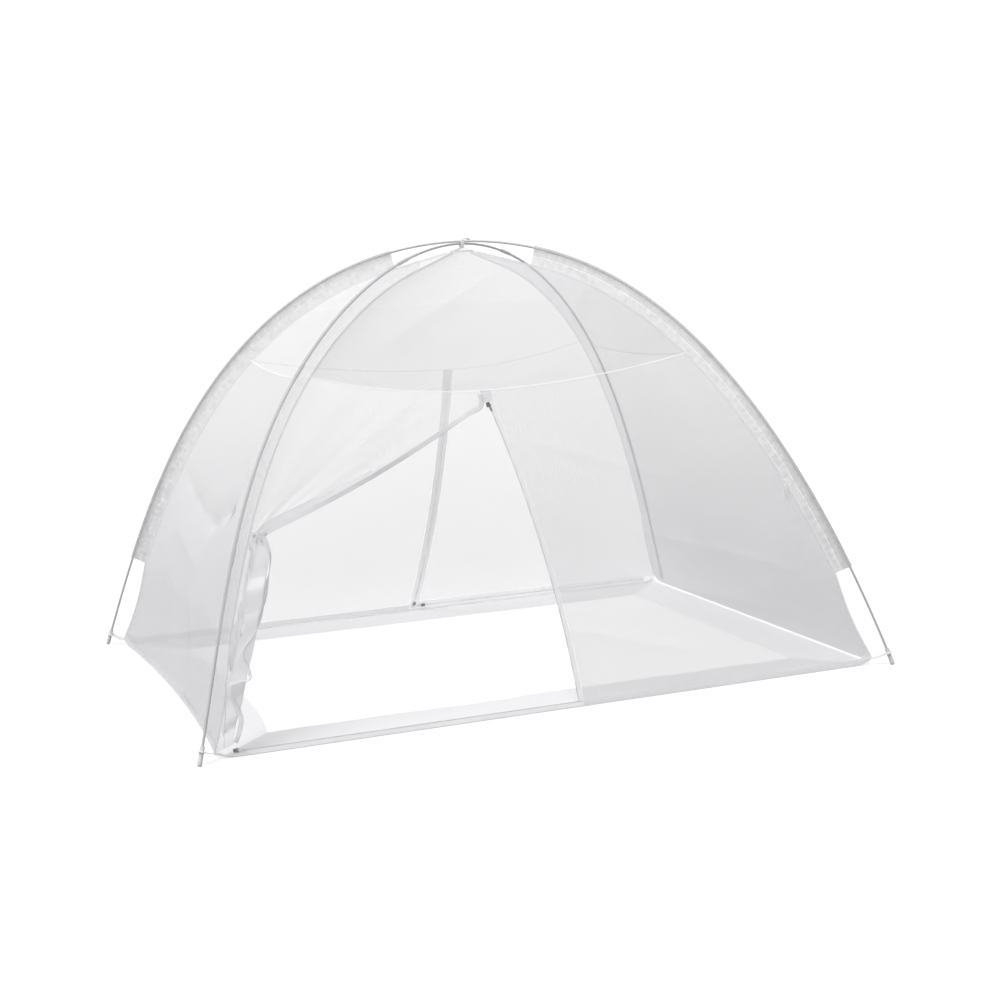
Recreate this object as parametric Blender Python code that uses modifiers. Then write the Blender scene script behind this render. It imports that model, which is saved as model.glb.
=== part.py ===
# Mosquito net tent: a floorless net dome that stands over a mattress on two crossing poles.
# Metres, +Z up. The origin is on the floor under the crossing, +X runs along the long side,
# and -Y is the side whose door is drawn open.

import math

import bmesh
import bpy
import numpy as np
from mathutils import Matrix, Vector

# Pole frame
foot_span_x = 2.100
foot_span_y = 1.510
arch_height = 1.298
pole_diameter = 0.0070
pole_wall = 0.0010
front_bow = 0.038
front_bow_skew = 1.5
sections_per_pole = 7
spans_per_section = 5
crossing_gap = 0.0004
section_gap = 0.0006
ferrule_length = 0.045
ferrule_taper = 0.003
ferrule_clearance = 0.00035
shock_cord_diameter = 0.0030

# Foot sockets and the webbing tabs that pull the net's corners out to them
socket_diameter = 0.0130
socket_length = 0.052
socket_seat_depth = 0.026
socket_bore_clearance = 0.0005
socket_collar = 0.0016
tab_width = 0.024
tab_thickness = 0.0014
tab_ring_width = 0.005

# Net shell
net_thickness = 0.0006
seam_gap = 0.0003
edge_gap = 0.0009
sleeve_width = 0.045
sleeve_foot_height = 0.300
sleeve_top_reach = 0.230
sleeve_cloth = 0.0005
sleeve_ply_gap = 0.0009
sleeve_seam_gap = 0.0024
corner_slack = 0.014
corner_height = 0.018
corner_lift_zone = 0.050
peak_drop = 0.012
peak_patch_reach = 0.042
eave_height = 0.950
long_eave_dip = 0.070
long_eave_low_share = 0.42
short_eave_dip = 0.020
wall_sag = 0.016
roof_sag = 0.008
band_width = 0.180

# Zips: each door has an upright run and a run along the floor
tape_width = 0.014
tape_thickness = 0.0006
bead_width = 0.0022
bead_thickness = 0.0022
bead_split = 0.0006
sill_end = 0.050
corner_overlap = 0.0084
patch_height = 0.035
patch_thickness = 0.0010
zip_edge_spans = 10

# Zip sliders and their pulls
slider_length = 0.0130
slider_mouth_width = 0.0124
slider_tail_width = 0.0096
slider_plate = 0.0012
slider_play = 0.0004
slider_lip = 0.0009
slider_web = 0.0006
pull_room = 0.012
bail_span = 0.0090
bail_height = 0.0038
bail_width = 0.0014
bail_bar = 0.0010
pull_length = 0.022
pull_width = 0.0070
pull_thickness = 0.0012
pull_eye_width = 0.0058

# The drawn flap and the ties
tie_height = 0.560
flap_folds = 3
flap_rows_above_tie = 7
flap_rows_below_tie = 9
flap_fold_depth = 0.010
flap_bunch_width = 0.042
flap_foot_reach = 0.030
flap_cinch = 0.55
flap_start_gap = 0.004
tie_width = 0.006
tie_thickness = 0.0010
tie_tail = 0.060
apex_tape_width = 0.008
apex_tail = 0.026

# Materials: colour, roughness, metallic, opacity
finishes = {
    "pole": ((0.80, 0.81, 0.82), 0.35, 0.0, 1.0),
    "cord": ((0.90, 0.90, 0.90), 0.85, 0.0, 1.0),
    "socket": ((0.90, 0.90, 0.90), 0.45, 0.0, 1.0),
    "webbing": ((0.92, 0.92, 0.92), 0.80, 0.0, 1.0),
    "net": ((0.93, 0.93, 0.95), 0.90, 0.0, 0.45),
    "band": ((0.95, 0.95, 0.96), 0.90, 0.0, 1.0),
    "sleeve": ((0.94, 0.94, 0.95), 0.85, 0.0, 0.85),
    "zip_tape": ((0.88, 0.88, 0.89), 0.80, 0.0, 1.0),
    "slider": ((0.30, 0.30, 0.31), 0.35, 1.0, 1.0),
    "pull": ((0.86, 0.86, 0.86), 0.40, 0.0, 1.0),
}

half_span = math.hypot(foot_span_x, foot_span_y) / 2
diagonal_x = foot_span_x / 2 / half_span
diagonal_y = foot_span_y / 2 / half_span
pole_radius = pole_diameter / 2
socket_radius = socket_diameter / 2
facet = math.cos(math.pi / 8)
ferrule_radius = pole_radius + (pole_wall + ferrule_clearance) / facet
upper_rise = pole_diameter + crossing_gap
tape_reach = bead_split + bead_width + tape_width
chain_half_width = bead_split + bead_width
slider_inside = bead_thickness / 2 + slider_play
slider_top = slider_inside + slider_plate

parts = None
guides = None


# Scene helpers


def start_scene():
    global parts, guides
    for old in list(bpy.data.objects):
        bpy.data.objects.remove(old, do_unlink=True)
    parts = bpy.data.collections.new("mosquito_net_tent")
    guides = bpy.data.collections.new("cutters")
    bpy.context.scene.collection.children.link(parts)
    bpy.context.scene.collection.children.link(guides)


def finish(name):
    material = bpy.data.materials.get(name) or bpy.data.materials.new(name)
    colour, roughness, metallic, opacity = finishes[name]
    material.use_nodes = True
    shader = material.node_tree.nodes["Principled BSDF"]
    shader.inputs["Base Color"].default_value = (*colour, 1.0)
    shader.inputs["Roughness"].default_value = roughness
    shader.inputs["Metallic"].default_value = metallic
    shader.inputs["Alpha"].default_value = opacity
    return material


def add_part(name, data, material, collection=None):
    part = bpy.data.objects.new(name, data)
    data.materials.clear()
    data.materials.append(finish(material))
    (collection or parts).objects.link(part)
    return part


def mesh_part(name, bm, material):
    mesh = bpy.data.meshes.new(name)
    bmesh.ops.recalc_face_normals(bm, faces=bm.faces)
    bm.to_mesh(mesh)
    bm.free()
    return add_part(name, mesh, material)


def cutter(name, bm):
    mesh = bpy.data.meshes.new(name)
    bmesh.ops.recalc_face_normals(bm, faces=bm.faces)
    bm.to_mesh(mesh)
    bm.free()
    tool = add_part(name, mesh, "slider", guides)
    tool.hide_render = True
    tool.display_type = "WIRE"
    return tool


def pivot_empty(name, point):
    # An empty on a joint's axis, for the piece that turns about it
    pivot = bpy.data.objects.new(name, None)
    pivot.empty_display_size = slider_length
    pivot.location = point
    parts.objects.link(pivot)
    return pivot


def hang(part, parent, parent_place):
    # Parents a placed piece without moving it
    part.parent = parent
    part.matrix_parent_inverse = parent_place.inverted()


def boolean(part, tool, operation):
    step = part.modifiers.new(operation.lower(), "BOOLEAN")
    step.operation = operation
    step.object = tool
    step.solver = "EXACT"


def cloth(name, surface, columns, rows, thickness, material, offset=0.0):
    # A grid laid on surface(u, v) and given the cloth's thickness
    bm = bmesh.new()
    bmesh.ops.create_grid(bm, x_segments=columns, y_segments=rows, size=0.5)
    for vert in bm.verts:
        vert.co = surface(vert.co.x + 0.5, vert.co.y + 0.5)
    mesh = bpy.data.meshes.new(name)
    bm.to_mesh(mesh)
    bm.free()
    part = add_part(name, mesh, material)
    wall = part.modifiers.new("thickness", "SOLIDIFY")
    wall.thickness = thickness
    wall.offset = offset
    mesh.shade_smooth()
    return part


def tube(name, points, radius, material, wall=None, resolution=2, swell=None):
    # A poly curve with a round bevel: a rod with caps, or an open pipe given its wall
    curve = bpy.data.curves.new(name, "CURVE")
    curve.dimensions = "3D"
    curve.bevel_depth = radius
    curve.bevel_resolution = resolution
    curve.use_fill_caps = wall is None
    spline = curve.splines.new("POLY")
    spline.points.add(len(points) - 1)
    for place, point in zip(spline.points, points):
        place.co = (*point, 1.0)
    for place, factor in zip(spline.points, swell or []):
        place.radius = factor
    part = add_part(name, curve, material)
    if wall:
        shell = part.modifiers.new("wall", "SOLIDIFY")
        shell.thickness = wall
        shell.offset = -1.0
        shell.use_even_offset = True
    return part


def rounded(vector):
    return tuple(round(value, 6) for value in vector)


def box(bm, low, high):
    middle = [(a + b) / 2 for a, b in zip(low, high)]
    size = [b - a for a, b in zip(low, high)]
    place = Matrix.Translation(middle) @ Matrix.Diagonal((*size, 1.0))
    bmesh.ops.create_cube(bm, size=1.0, matrix=place)


def extrude_outline(bm, outline, shift):
    # A flat outline, pushed along a vector into a solid
    face = bm.faces.new([bm.verts.new(point) for point in outline])
    pushed = bmesh.ops.extrude_face_region(bm, geom=[face])["geom"]
    moved = [item for item in pushed if isinstance(item, bmesh.types.BMVert)]
    bmesh.ops.translate(bm, verts=moved, vec=shift)


# Polylines


def along(points, distance):
    # The point at a distance from the start of a polyline
    for first, second in zip(points, points[1:]):
        span = (second - first).length
        if distance <= span:
            return first.lerp(second, distance / span)
        distance -= span
    return points[-1].copy()


def length_of(points):
    return sum((b - a).length for a, b in zip(points, points[1:]))


def stretch(points, start, end):
    # The part of a polyline between two distances from its start
    kept = [along(points, start)]
    passed = 0.0
    for first, second in zip(points, points[1:]):
        passed += (second - first).length
        if start + seam_gap < passed < end - seam_gap:
            kept.append(second.copy())
    kept.append(along(points, end))
    return kept


def share(points, t):
    return along(points, length_of(points) * t)


# The poles' curve: a straight rod bent between two pinned feet


def bent_rod(reach, height):
    # Reach, height and length from the crown to the foot, for the modulus that gives this rise
    turn = np.linspace(0.0, math.pi / 2, 601)

    def shape(modulus):
        root = np.sqrt(1 - modulus * np.sin(turn) ** 2)
        across = (1 - 2 * modulus * np.sin(turn) ** 2) / root
        steps = np.diff(turn)
        out = np.concatenate([[0.0], np.cumsum((across[1:] + across[:-1]) / 2 * steps)])
        run = np.concatenate([[0.0], np.cumsum((1 / root[1:] + 1 / root[:-1]) / 2 * steps)])
        up = 2 * math.sqrt(modulus) * np.cos(turn)
        return out, up, run

    low, high = 0.02, 0.75
    for _ in range(50):
        modulus = (low + high) / 2
        out, up, run = shape(modulus)
        if up[0] / out[-1] < height / reach:
            low = modulus
        else:
            high = modulus
    scale = height / up[0]
    return out * scale, up * scale + socket_radius, run * scale


def bow_at(height):
    # The open door lets both front arches bow sideways, most of all above mid height
    share = np.clip(np.asarray(height) / arch_height, 0.0, 1.0)
    return -front_bow * np.sin(math.pi * share**front_bow_skew)


def pole_route(rise, side):
    # Stations from the rear foot over the crown to the front foot
    out, up, run = bent_rod(half_span, arch_height + rise - socket_radius)
    count = sections_per_pole * spans_per_section
    route = []
    for index in range(count + 1):
        distance = run[-1] * (2 * index / count - 1)
        reach = math.copysign(np.interp(abs(distance), run, out), distance)
        height = float(np.interp(abs(distance), run, up))
        bow = float(bow_at(height)) if distance > 0 else 0.0
        route.append(Vector((side * diagonal_x * reach + bow, -diagonal_y * reach, height)))
    return route


def ridge_profile():
    # Reach, sideways bow and height of the net's corner seam, from the floor to the peak
    out, up, run = bent_rod(half_span, arch_height - socket_radius)
    slope = np.arctan2(-np.gradient(up, run), np.gradient(out, run))
    sleeve_start = float(np.interp(-sleeve_foot_height, -up, run))
    below = np.clip((run[-1] - run) / (run[-1] - sleeve_start), 0.0, 1.0)
    inset = sleeve_width + corner_slack * np.sin(math.pi * below)
    seam_out = out - np.sin(slope) * inset
    seam_up = up - np.cos(slope) * inset
    kept = (seam_out > sleeve_top_reach) & (seam_up > corner_height)
    foot = float(np.interp(-corner_height, -seam_up, seam_out))
    bow = bow_at(up)
    corner_bow = np.interp(-corner_height, -seam_up, bow)
    bow -= corner_bow * np.clip(1 - (seam_up - corner_height) / sleeve_foot_height, 0.0, 1.0) ** 2
    profile = [Vector((foot, 0.0, corner_height))]
    stations = zip(seam_out[kept][::12], bow[kept][::12], seam_up[kept][::12])
    for reach, sideways, height in reversed(list(stations)):
        profile.append(Vector((reach, sideways, height)))
    profile.append(Vector((0.0, 0.0, arch_height - peak_drop)))
    return profile


def ridge_distance(height):
    # How far up the corner seam a given height lies
    passed = 0.0
    for first, second in zip(ridge, ridge[1:]):
        if first.z <= height <= second.z:
            part = (height - first.z) / (second.z - first.z)
            return passed + (second - first).length * part
        passed += (second - first).length
    return passed


def on_ridge(distance, side_x, side_y, bowed=True):
    # Only the front seams take the bow, and the rear door is drawn at the front without it
    point = along(ridge, distance)
    bow = point.y if bowed and side_y < 0 else 0.0
    return Vector((side_x * diagonal_x * point.x + bow, side_y * diagonal_y * point.x, point.z))


# Base and eave lines, drawn for the front and for the left and turned for the others


def corner_rise(distance):
    share_left = max(0.0, 1 - distance / corner_lift_zone)
    return (corner_height - net_thickness) * share_left**1.5


def hem_point(place, edge):
    # A point on the top face of the base band's outer edge, along x or y
    distance = edge - abs(place)
    return net_thickness + seam_gap + corner_rise(distance)


def dipped(start, end, low_share, depth, t):
    # A straight line from start to end that sags to its lowest point at low_share
    point = start.lerp(end, t)
    side = t / low_share if t < low_share else (1 - t) / (1 - low_share)
    point.z -= depth * (1 - (1 - side) ** 2)
    return point


def coons(left, right, bottom, top, sag, inward):
    # A surface between four edges, each a function of 0 to 1, with a soft inward belly
    def surface(u, v):
        ruled_u = left(v).lerp(right(v), u)
        ruled_v = bottom(u).lerp(top(u), v)
        low = bottom(0).lerp(bottom(1), u)
        high = top(0).lerp(top(1), u)
        belly = sag * math.sin(math.pi * u) * math.sin(math.pi * v)
        return ruled_u + ruled_v - low.lerp(high, v) + inward * belly

    return surface


def joined(curve, start, end):
    # The same edge, eased so that it meets the two given corners
    def eased(t):
        return curve(t) + (start - curve(0)).lerp(end - curve(1), t)

    return eased


# Poles


def build_pole(letter, rise, side):
    # Hollow sections, each but the last with a ferrule that takes the next one's end
    route = pole_route(rise, side)
    total = length_of(route)
    section = total / sections_per_pole
    first = socket_length - socket_seat_depth - socket_radius
    for index in range(sections_per_pole):
        start = max(index * section + section_gap, first + seam_gap)
        last = index == sections_per_pole - 1
        shoulder = (index + 1) * section - ferrule_taper
        if last:
            shoulder = total - first - seam_gap
        piece = stretch(route, start, shoulder)
        swell = [1.0] * len(piece)
        if not last:
            socket = stretch(route, shoulder + ferrule_taper * 0.8, shoulder + ferrule_length)
            piece += socket
            swell += [ferrule_radius / pole_radius] * len(socket)
        name = f"pole_{letter}_section_{index + 1}"
        tube(name, piece, pole_radius, "pole", wall=pole_wall, swell=swell)
    cord = stretch(route, first + 2 * seam_gap, total - first - 2 * seam_gap)
    tube(f"pole_{letter}_shock_cord", cord, shock_cord_diameter / 2, "cord", resolution=1)
    return route


def foot_frame(route, at_end):
    # The tip's centre and the pole's direction at one foot
    ends = (route[-1], route[-2]) if at_end else (route[0], route[1])
    upward = (ends[1] - ends[0]).normalized()
    inward = Vector((-ends[0].x, -ends[0].y, 0.0)).normalized()
    flat = (inward - upward * inward.dot(upward)).normalized()
    across = upward.cross(flat)
    return Matrix((flat, across, upward)).transposed().to_4x4(), ends[0]


def build_foot(corner, route, at_end):
    turn, tip = foot_frame(route, at_end)
    inward, upward = turn.col[0].to_3d(), turn.col[2].to_3d()
    outward = Vector((tip.x, tip.y, 0.0)).normalized()
    corner_point = outward * (ridge[0].x + 2 * seam_gap) + Vector((0, 0, corner_height))
    # The tab leaves square to the socket and ends at the net's corner
    ring = (corner_point - tip).dot(upward)
    end = (corner_point - tip).dot(inward)
    bore = pole_radius + socket_bore_clearance
    floor = socket_length - socket_seat_depth - socket_radius
    rim = socket_length - socket_radius
    low_collar = ring - tab_thickness / 2 - seam_gap
    high_collar = ring + tab_thickness / 2 + seam_gap
    proud = socket_radius + socket_collar
    profile = [(0.0, floor), (bore, floor), (bore, rim), (socket_radius, rim)]
    profile += [(socket_radius, high_collar + 2 * socket_collar), (proud, high_collar + socket_collar)]
    profile += [(proud, high_collar), (socket_radius, high_collar), (socket_radius, low_collar)]
    profile += [(proud, low_collar), (proud, low_collar - socket_collar)]
    profile += [(socket_radius, low_collar - 2 * socket_collar)]
    for step in range(5):
        angle = math.pi / 2 * step / 4
        profile.append((socket_radius * math.cos(angle), -socket_radius * math.sin(angle)))
    bm = bmesh.new()
    verts = [bm.verts.new((x, 0.0, z)) for x, z in profile]
    for first, second in zip(verts, verts[1:]):
        bm.edges.new((first, second))
    mesh = bpy.data.meshes.new(f"foot_socket_{corner}")
    bm.to_mesh(mesh)
    bm.free()
    socket = add_part(f"foot_socket_{corner}", mesh, "socket")
    spin = socket.modifiers.new("turning", "SCREW")
    spin.steps = 12
    spin.render_steps = 12
    spin.use_merge_vertices = True
    spin.merge_threshold = 0.00001
    socket.matrix_world = Matrix.Translation(tip) @ turn
    place = Matrix.Translation(tip) @ turn @ Matrix.Translation((0.0, 0.0, ring))
    build_tab(corner, place, end)


def build_tab(corner, place, end):
    # A webbing tongue with an eye that sits in the socket's groove
    hole = socket_radius + seam_gap
    eye = hole + tab_ring_width
    curve = bpy.data.curves.new(f"corner_tab_{corner}", "CURVE")
    curve.dimensions = "2D"
    curve.fill_mode = "BOTH"
    curve.extrude = tab_thickness / 2
    join = math.asin(min(1.0, tab_width / 2 / eye))
    outline = [(end, -tab_width / 2), (end, tab_width / 2)]
    for step in range(11):
        angle = join + (2 * math.pi - 2 * join) * step / 10
        outline.append((eye * math.cos(angle), eye * math.sin(angle)))
    hole_points = [
        (hole * math.cos(-2 * math.pi * step / 14), hole * math.sin(-2 * math.pi * step / 14))
        for step in range(14)
    ]
    for ring_points in (outline, hole_points):
        spline = curve.splines.new("POLY")
        spline.points.add(len(ring_points) - 1)
        spline.use_cyclic_u = True
        for point, (x, y) in zip(spline.points, ring_points):
            point.co = (x, y, 0.0, 1.0)
    tab = add_part(f"corner_tab_{corner}", curve, "webbing")
    tab.matrix_world = place


# Sleeves


def build_sleeve(corner, side_x, side_y):
    # One folded strip: up one ply from the seam, round the pole and back down the other
    lift = upper_rise if side_x * side_y < 0 else 0.0
    route = pole_route(lift, side_x * -side_y)
    half = [point for point in route if point.y * side_y >= -seam_gap]
    half.sort(key=lambda point: -point.z)
    top = next(i for i, point in enumerate(half) if math.hypot(point.x, point.y) > sleeve_top_reach)
    half_length = [length_of(half[: index + 1]) for index in range(len(half))]
    start = half_length[top] - (math.hypot(half[top].x, half[top].y) - sleeve_top_reach)
    end = float(np.interp(-sleeve_foot_height, [-point.z for point in half], half_length))
    stations = stretch(half, start, end)
    plane = Vector((side_x * diagonal_x, side_y * diagonal_y, 0.0))
    across = Vector((-plane.y, plane.x, 0.0))
    round_steps = 5
    swing = math.pi * 1.30
    wrap = (ferrule_radius + seam_gap) / math.cos(swing / round_steps / 2) + sleeve_cloth / 2
    ply = (sleeve_ply_gap + sleeve_cloth) / 2
    profile = [(-(sleeve_width - lift - sleeve_seam_gap), ply)]
    profile.append((-wrap * 2.6, ply))
    for step in range(round_steps + 1):
        angle = swing / 2 - swing * step / round_steps
        profile.append((wrap * math.cos(angle), wrap * math.sin(angle)))
    profile += [(x, -y) for x, y in profile[1::-1]]
    directions = []
    for index, station in enumerate(stations):
        before = stations[max(index - 1, 0)]
        after = stations[min(index + 1, len(stations) - 1)]
        tangent = (after - before).normalized()
        directions.append(across.cross(tangent).normalized())
        if directions[-1].dot(plane) < 0:
            directions[-1] = -directions[-1]
    last = len(stations) - 1
    around = len(profile) - 1

    def surface(u, v):
        index = min(round(v * last), last)
        x, y = profile[round(u * around)]
        return stations[index] + directions[index] * x + across * y

    cloth(f"pole_sleeve_{corner}", surface, around, last, sleeve_cloth, "sleeve")


# Net panels


def build_roof():
    start = ridge_distance(eave_height)
    end = length_of(ridge) - peak_patch_reach / 2
    sides = {
        "front": ((-1, -1), (1, -1), long_eave_dip, Vector((0, 1, 0)), long_eave_low_share),
        "rear": ((1, 1), (-1, 1), long_eave_dip, Vector((0, -1, 0)), long_eave_low_share),
        "left": ((-1, 1), (-1, -1), short_eave_dip, Vector((1, 0, 0)), 0.5),
        "right": ((1, -1), (1, 1), short_eave_dip, Vector((-1, 0, 0)), 0.5),
    }
    for name, (first, second, dip, inward, low_share) in sides.items():
        shift = (on_ridge(start, *second) - on_ridge(start, *first)).normalized() * edge_gap
        up = Vector((0, 0, seam_gap))

        def left(v, first=first, shift=shift, up=up):
            return on_ridge(start + (end - start) * v, *first) + shift + up

        def right(v, second=second, shift=shift, up=up):
            return on_ridge(start + (end - start) * v, *second) - shift + up

        def bottom(u, left=left, right=right, dip=dip, low_share=low_share):
            return dipped(left(0), right(0), low_share, dip, u)

        def top(u, left=left, right=right):
            return left(1).lerp(right(1), u)

        surface = coons(left, right, bottom, top, roof_sag, inward)
        cloth(f"roof_net_{name}", surface, 10, 8, net_thickness, "net")


def build_end_wall(name, side_x):
    top_distance = ridge_distance(eave_height)
    inset = Vector((0, edge_gap, 0))

    def seam(v, side_y):
        point = on_ridge(top_distance * v, side_x, side_y)
        return point - inset * side_y - Vector((0, 0, seam_gap * v))

    low = -1 if side_x < 0 else 1
    start_low, end_low = seam(0, -low), seam(0, low)
    start_high, end_high = seam(1, -low), seam(1, low)

    def bottom(u):
        point = start_low.lerp(end_low, u)
        point.z = hem_point(point.y, abs(start_low.y) + edge_gap)
        return point

    surface = coons(
        joined(lambda v: seam(v, -low), bottom(0), start_high),
        joined(lambda v: seam(v, low), bottom(1), end_high),
        bottom,
        lambda u: dipped(start_high, end_high, 0.5, short_eave_dip, u),
        wall_sag,
        Vector((-side_x, 0, 0)),
    )
    cloth(name, surface, 10, 9, net_thickness, "net")


# Doors: worked out for the front and turned half round for the rear


class Door:
    def __init__(self, turned, top_x, foot_x, side_bulge, out_bulge):
        self.place = Matrix.Rotation(math.pi, 4, "Z") if turned else Matrix.Identity(4)
        self.bowed = not turned
        start = on_ridge(ridge_distance(eave_height), -1, -1, self.bowed)
        end = on_ridge(ridge_distance(eave_height), 1, -1, self.bowed)
        self.eave_left = start + Vector((edge_gap, 0, -seam_gap))
        self.eave_right = end + Vector((-edge_gap, 0, -seam_gap))
        self.hem_y = on_ridge(0, 1, -1).y
        self.hem_x = on_ridge(0, 1, -1).x
        rise = Vector((0, start.y - self.hem_y, eave_height - long_eave_dip)).normalized()
        self.lean = rise
        self.out = Vector((0, -rise.z, rise.y))
        base = Vector((0, self.hem_y, net_thickness + seam_gap))
        self.sill_line = base + rise * tape_reach
        self.top_x = top_x
        self.foot_x = foot_x
        low = self.sill_line + Vector((foot_x, 0, 0)) + rise * (chain_half_width + seam_gap)
        high = self.eave(top_x) - rise * (patch_height + 2 * seam_gap)
        middle = (low + high) / 2 + Vector((side_bulge, 0, 0)) + self.out * out_bulge
        self.set_arc(high, middle, low)

    def eave(self, x):
        t = (x - self.eave_left.x) / (self.eave_right.x - self.eave_left.x)
        return dipped(self.eave_left, self.eave_right, long_eave_low_share, long_eave_dip, t)

    def set_arc(self, high, middle, low):
        # The circle through three points, and the zip's frame at its upper end
        a, b = middle - high, low - high
        normal = a.cross(b)
        to_centre = (normal.cross(a) * b.length_squared + b.cross(normal) * a.length_squared)
        self.centre = high + to_centre / (2 * normal.length_squared)
        self.axis = normal.normalized()
        self.radius = (high - self.centre).length
        self.angle = (high - self.centre).angle(low - self.centre)
        spoke = (high - self.centre).normalized()
        down = self.axis.cross(spoke)
        across = self.out.cross(down).normalized()
        if across.x < 0:
            across = -across
        normal_out = down.cross(across)
        if normal_out.dot(self.out) < 0:
            normal_out = -normal_out
        self.start = Matrix((across, down, normal_out)).transposed().to_4x4()
        self.start.translation = high

    def upright(self, distance):
        # The frame at a distance down the zip: across, down the run and outward
        to_centre = Matrix.Translation(self.centre)
        turn = Matrix.Rotation(distance / self.radius, 4, self.axis)
        return to_centre @ turn @ to_centre.inverted() @ self.start

    def run(self):
        return self.radius * self.angle

    def sill(self, x, towards):
        # The frame on the floor run: across, along the run and outward
        across = self.lean * -towards
        frame = Matrix((across, Vector((towards, 0, 0)), self.out)).transposed().to_4x4()
        frame.translation = self.sill_line + Vector((x, 0, 0))
        return frame


def zip_half_outline(frame, side):
    # The tape's flat strip with the coil's bead sewn along its inner edge
    half, strip = bead_thickness / 2, tape_thickness / 2
    inner, edge, outer = bead_split, chain_half_width, tape_reach
    outline = [(inner, -half), (edge, -half), (edge, -strip), (outer, -strip)]
    outline += [(outer, strip), (edge, strip), (edge, half), (inner, half)]
    return [frame @ Vector((side * across, 0, out)) for across, out in outline]


def upright_half(door, side, angle):
    bm = bmesh.new()
    outline = zip_half_outline(door.upright(0), side)
    face = bm.faces.new([bm.verts.new(point) for point in outline])
    geometry = [face, *face.edges, *face.verts]
    bmesh.ops.spin(
        bm,
        geom=geometry,
        cent=door.centre,
        axis=door.axis,
        angle=angle,
        steps=14,
        use_duplicate=False,
    )
    return bm


def sill_half(door, side, start_x, end_x):
    bm = bmesh.new()
    outline = zip_half_outline(door.sill(start_x, 1), side)
    extrude_outline(bm, outline, Vector((end_x - start_x, 0, 0)))
    return bm


def place_door_part(part, door):
    part.data.transform(door.place)
    return part


def build_zip_half(name, door, on_door):
    # One chain half: down the upright run and round the corner along the floor
    side = -1 if on_door else 1
    overlap = 0.0 if on_door else corner_overlap / door.radius
    upright = upright_half(door, side, door.angle + overlap)
    far = -(door.hem_x - sill_end)
    near = door.foot_x + (corner_overlap / 2 - tape_reach if on_door else tape_reach)
    zip_half = mesh_part(name, upright, "zip_tape")
    floor_run = cutter(f"{name}_floor_run", sill_half(door, side, far, near))
    boolean(zip_half, floor_run, "UNION")
    place_door_part(zip_half, door)
    place_door_part(floor_run, door)


def build_patch(name, door):
    # The doubled square that closes the top of the zip under the eave
    low = door.upright(-2 * seam_gap)
    half = tape_reach
    bottom = [low @ Vector((-half, 0, 0)), low @ Vector((half, 0, 0))]
    top = [door.eave(door.top_x + side * half) - door.lean * seam_gap for side in (-1, 1)]

    def surface(u, v):
        return bottom[0].lerp(bottom[1], u).lerp(top[0].lerp(top[1], u), v)

    part = cloth(name, surface, 2, 3, patch_thickness, "webbing")
    place_door_part(part, door)


def zip_edge(door, side, to_floor):
    # The net's edge beside the upright zip, from the floor or from the sill zip up
    reach = side * (tape_reach + edge_gap)
    if to_floor:
        beside = door.upright(door.run() + corner_overlap) @ Vector((reach, 0, 0))
        x = max(beside.x, door.foot_x + reach)
        foot = Vector((x, door.hem_y, net_thickness + seam_gap))
        low = door.run() - tape_reach
    else:
        low = door.run() - 2 * tape_reach
        beside = door.upright(door.run() - tape_reach) @ Vector((reach, 0, 0))
        line = door.sill_line + door.lean * (tape_reach + edge_gap)
        foot = Vector((beside.x, line.y, line.z))
    points = [foot]
    for step in range(zip_edge_spans):
        frame = door.upright(low * (1 - step / (zip_edge_spans - 1)))
        points.append(frame @ Vector((reach, 0, 0)))
    points.append(door.eave(door.top_x + reach))
    return points


def ridge_edge(side_x, door):
    top_distance = ridge_distance(eave_height)

    def edge(v):
        shift = Vector((-side_x * edge_gap, 0, -seam_gap * v))
        return on_ridge(top_distance * v, side_x, -1, door.bowed) + shift

    return edge


def build_fixed_panel(name, door):
    # The half of the long wall that is sewn to the base all along
    left = zip_edge(door, 1, True)
    right = ridge_edge(1, door)
    rows = len(left) - 1

    def bottom(u):
        x = left[0].x + (right(0).x - left[0].x) * u
        return Vector((x, door.hem_y, hem_point(x, door.hem_x)))

    def top(u):
        return door.eave(left[-1].x + (right(1).x - left[-1].x) * u)

    surface = coons(
        lambda v: left[round(v * rows)],
        joined(right, bottom(1), top(1)),
        joined(bottom, left[0], bottom(1)),
        joined(top, left[-1], top(1)),
        wall_sag,
        Vector((0, 1, 0)),
    )
    place_door_part(cloth(name, surface, 10, rows, net_thickness, "net"), door)


def build_closed_door(name, door):
    # The half that the two zips let go, shown shut
    right = zip_edge(door, -1, False)
    left = ridge_edge(-1, door)
    columns, rows = 12, len(right) - 1
    first_column = Vector((sill_end - edge_gap - door.hem_x, right[0].y, right[0].z))

    def bottom(u):
        if u * columns < 1:
            return left(0).lerp(first_column, u * columns)
        return first_column.lerp(right[0], (u * columns - 1) / (columns - 1))

    def top(u):
        return door.eave(left(1).x + (right[-1].x - left(1).x) * u)

    surface = coons(
        joined(left, left(0), top(0)),
        lambda v: right[round(v * rows)],
        bottom,
        joined(top, top(0), right[-1]),
        wall_sag,
        Vector((0, 1, 0)),
    )
    place_door_part(cloth(name, surface, columns, rows, net_thickness, "net"), door)


# The open front flap, drawn aside and tied to the front left pole sleeve


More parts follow.
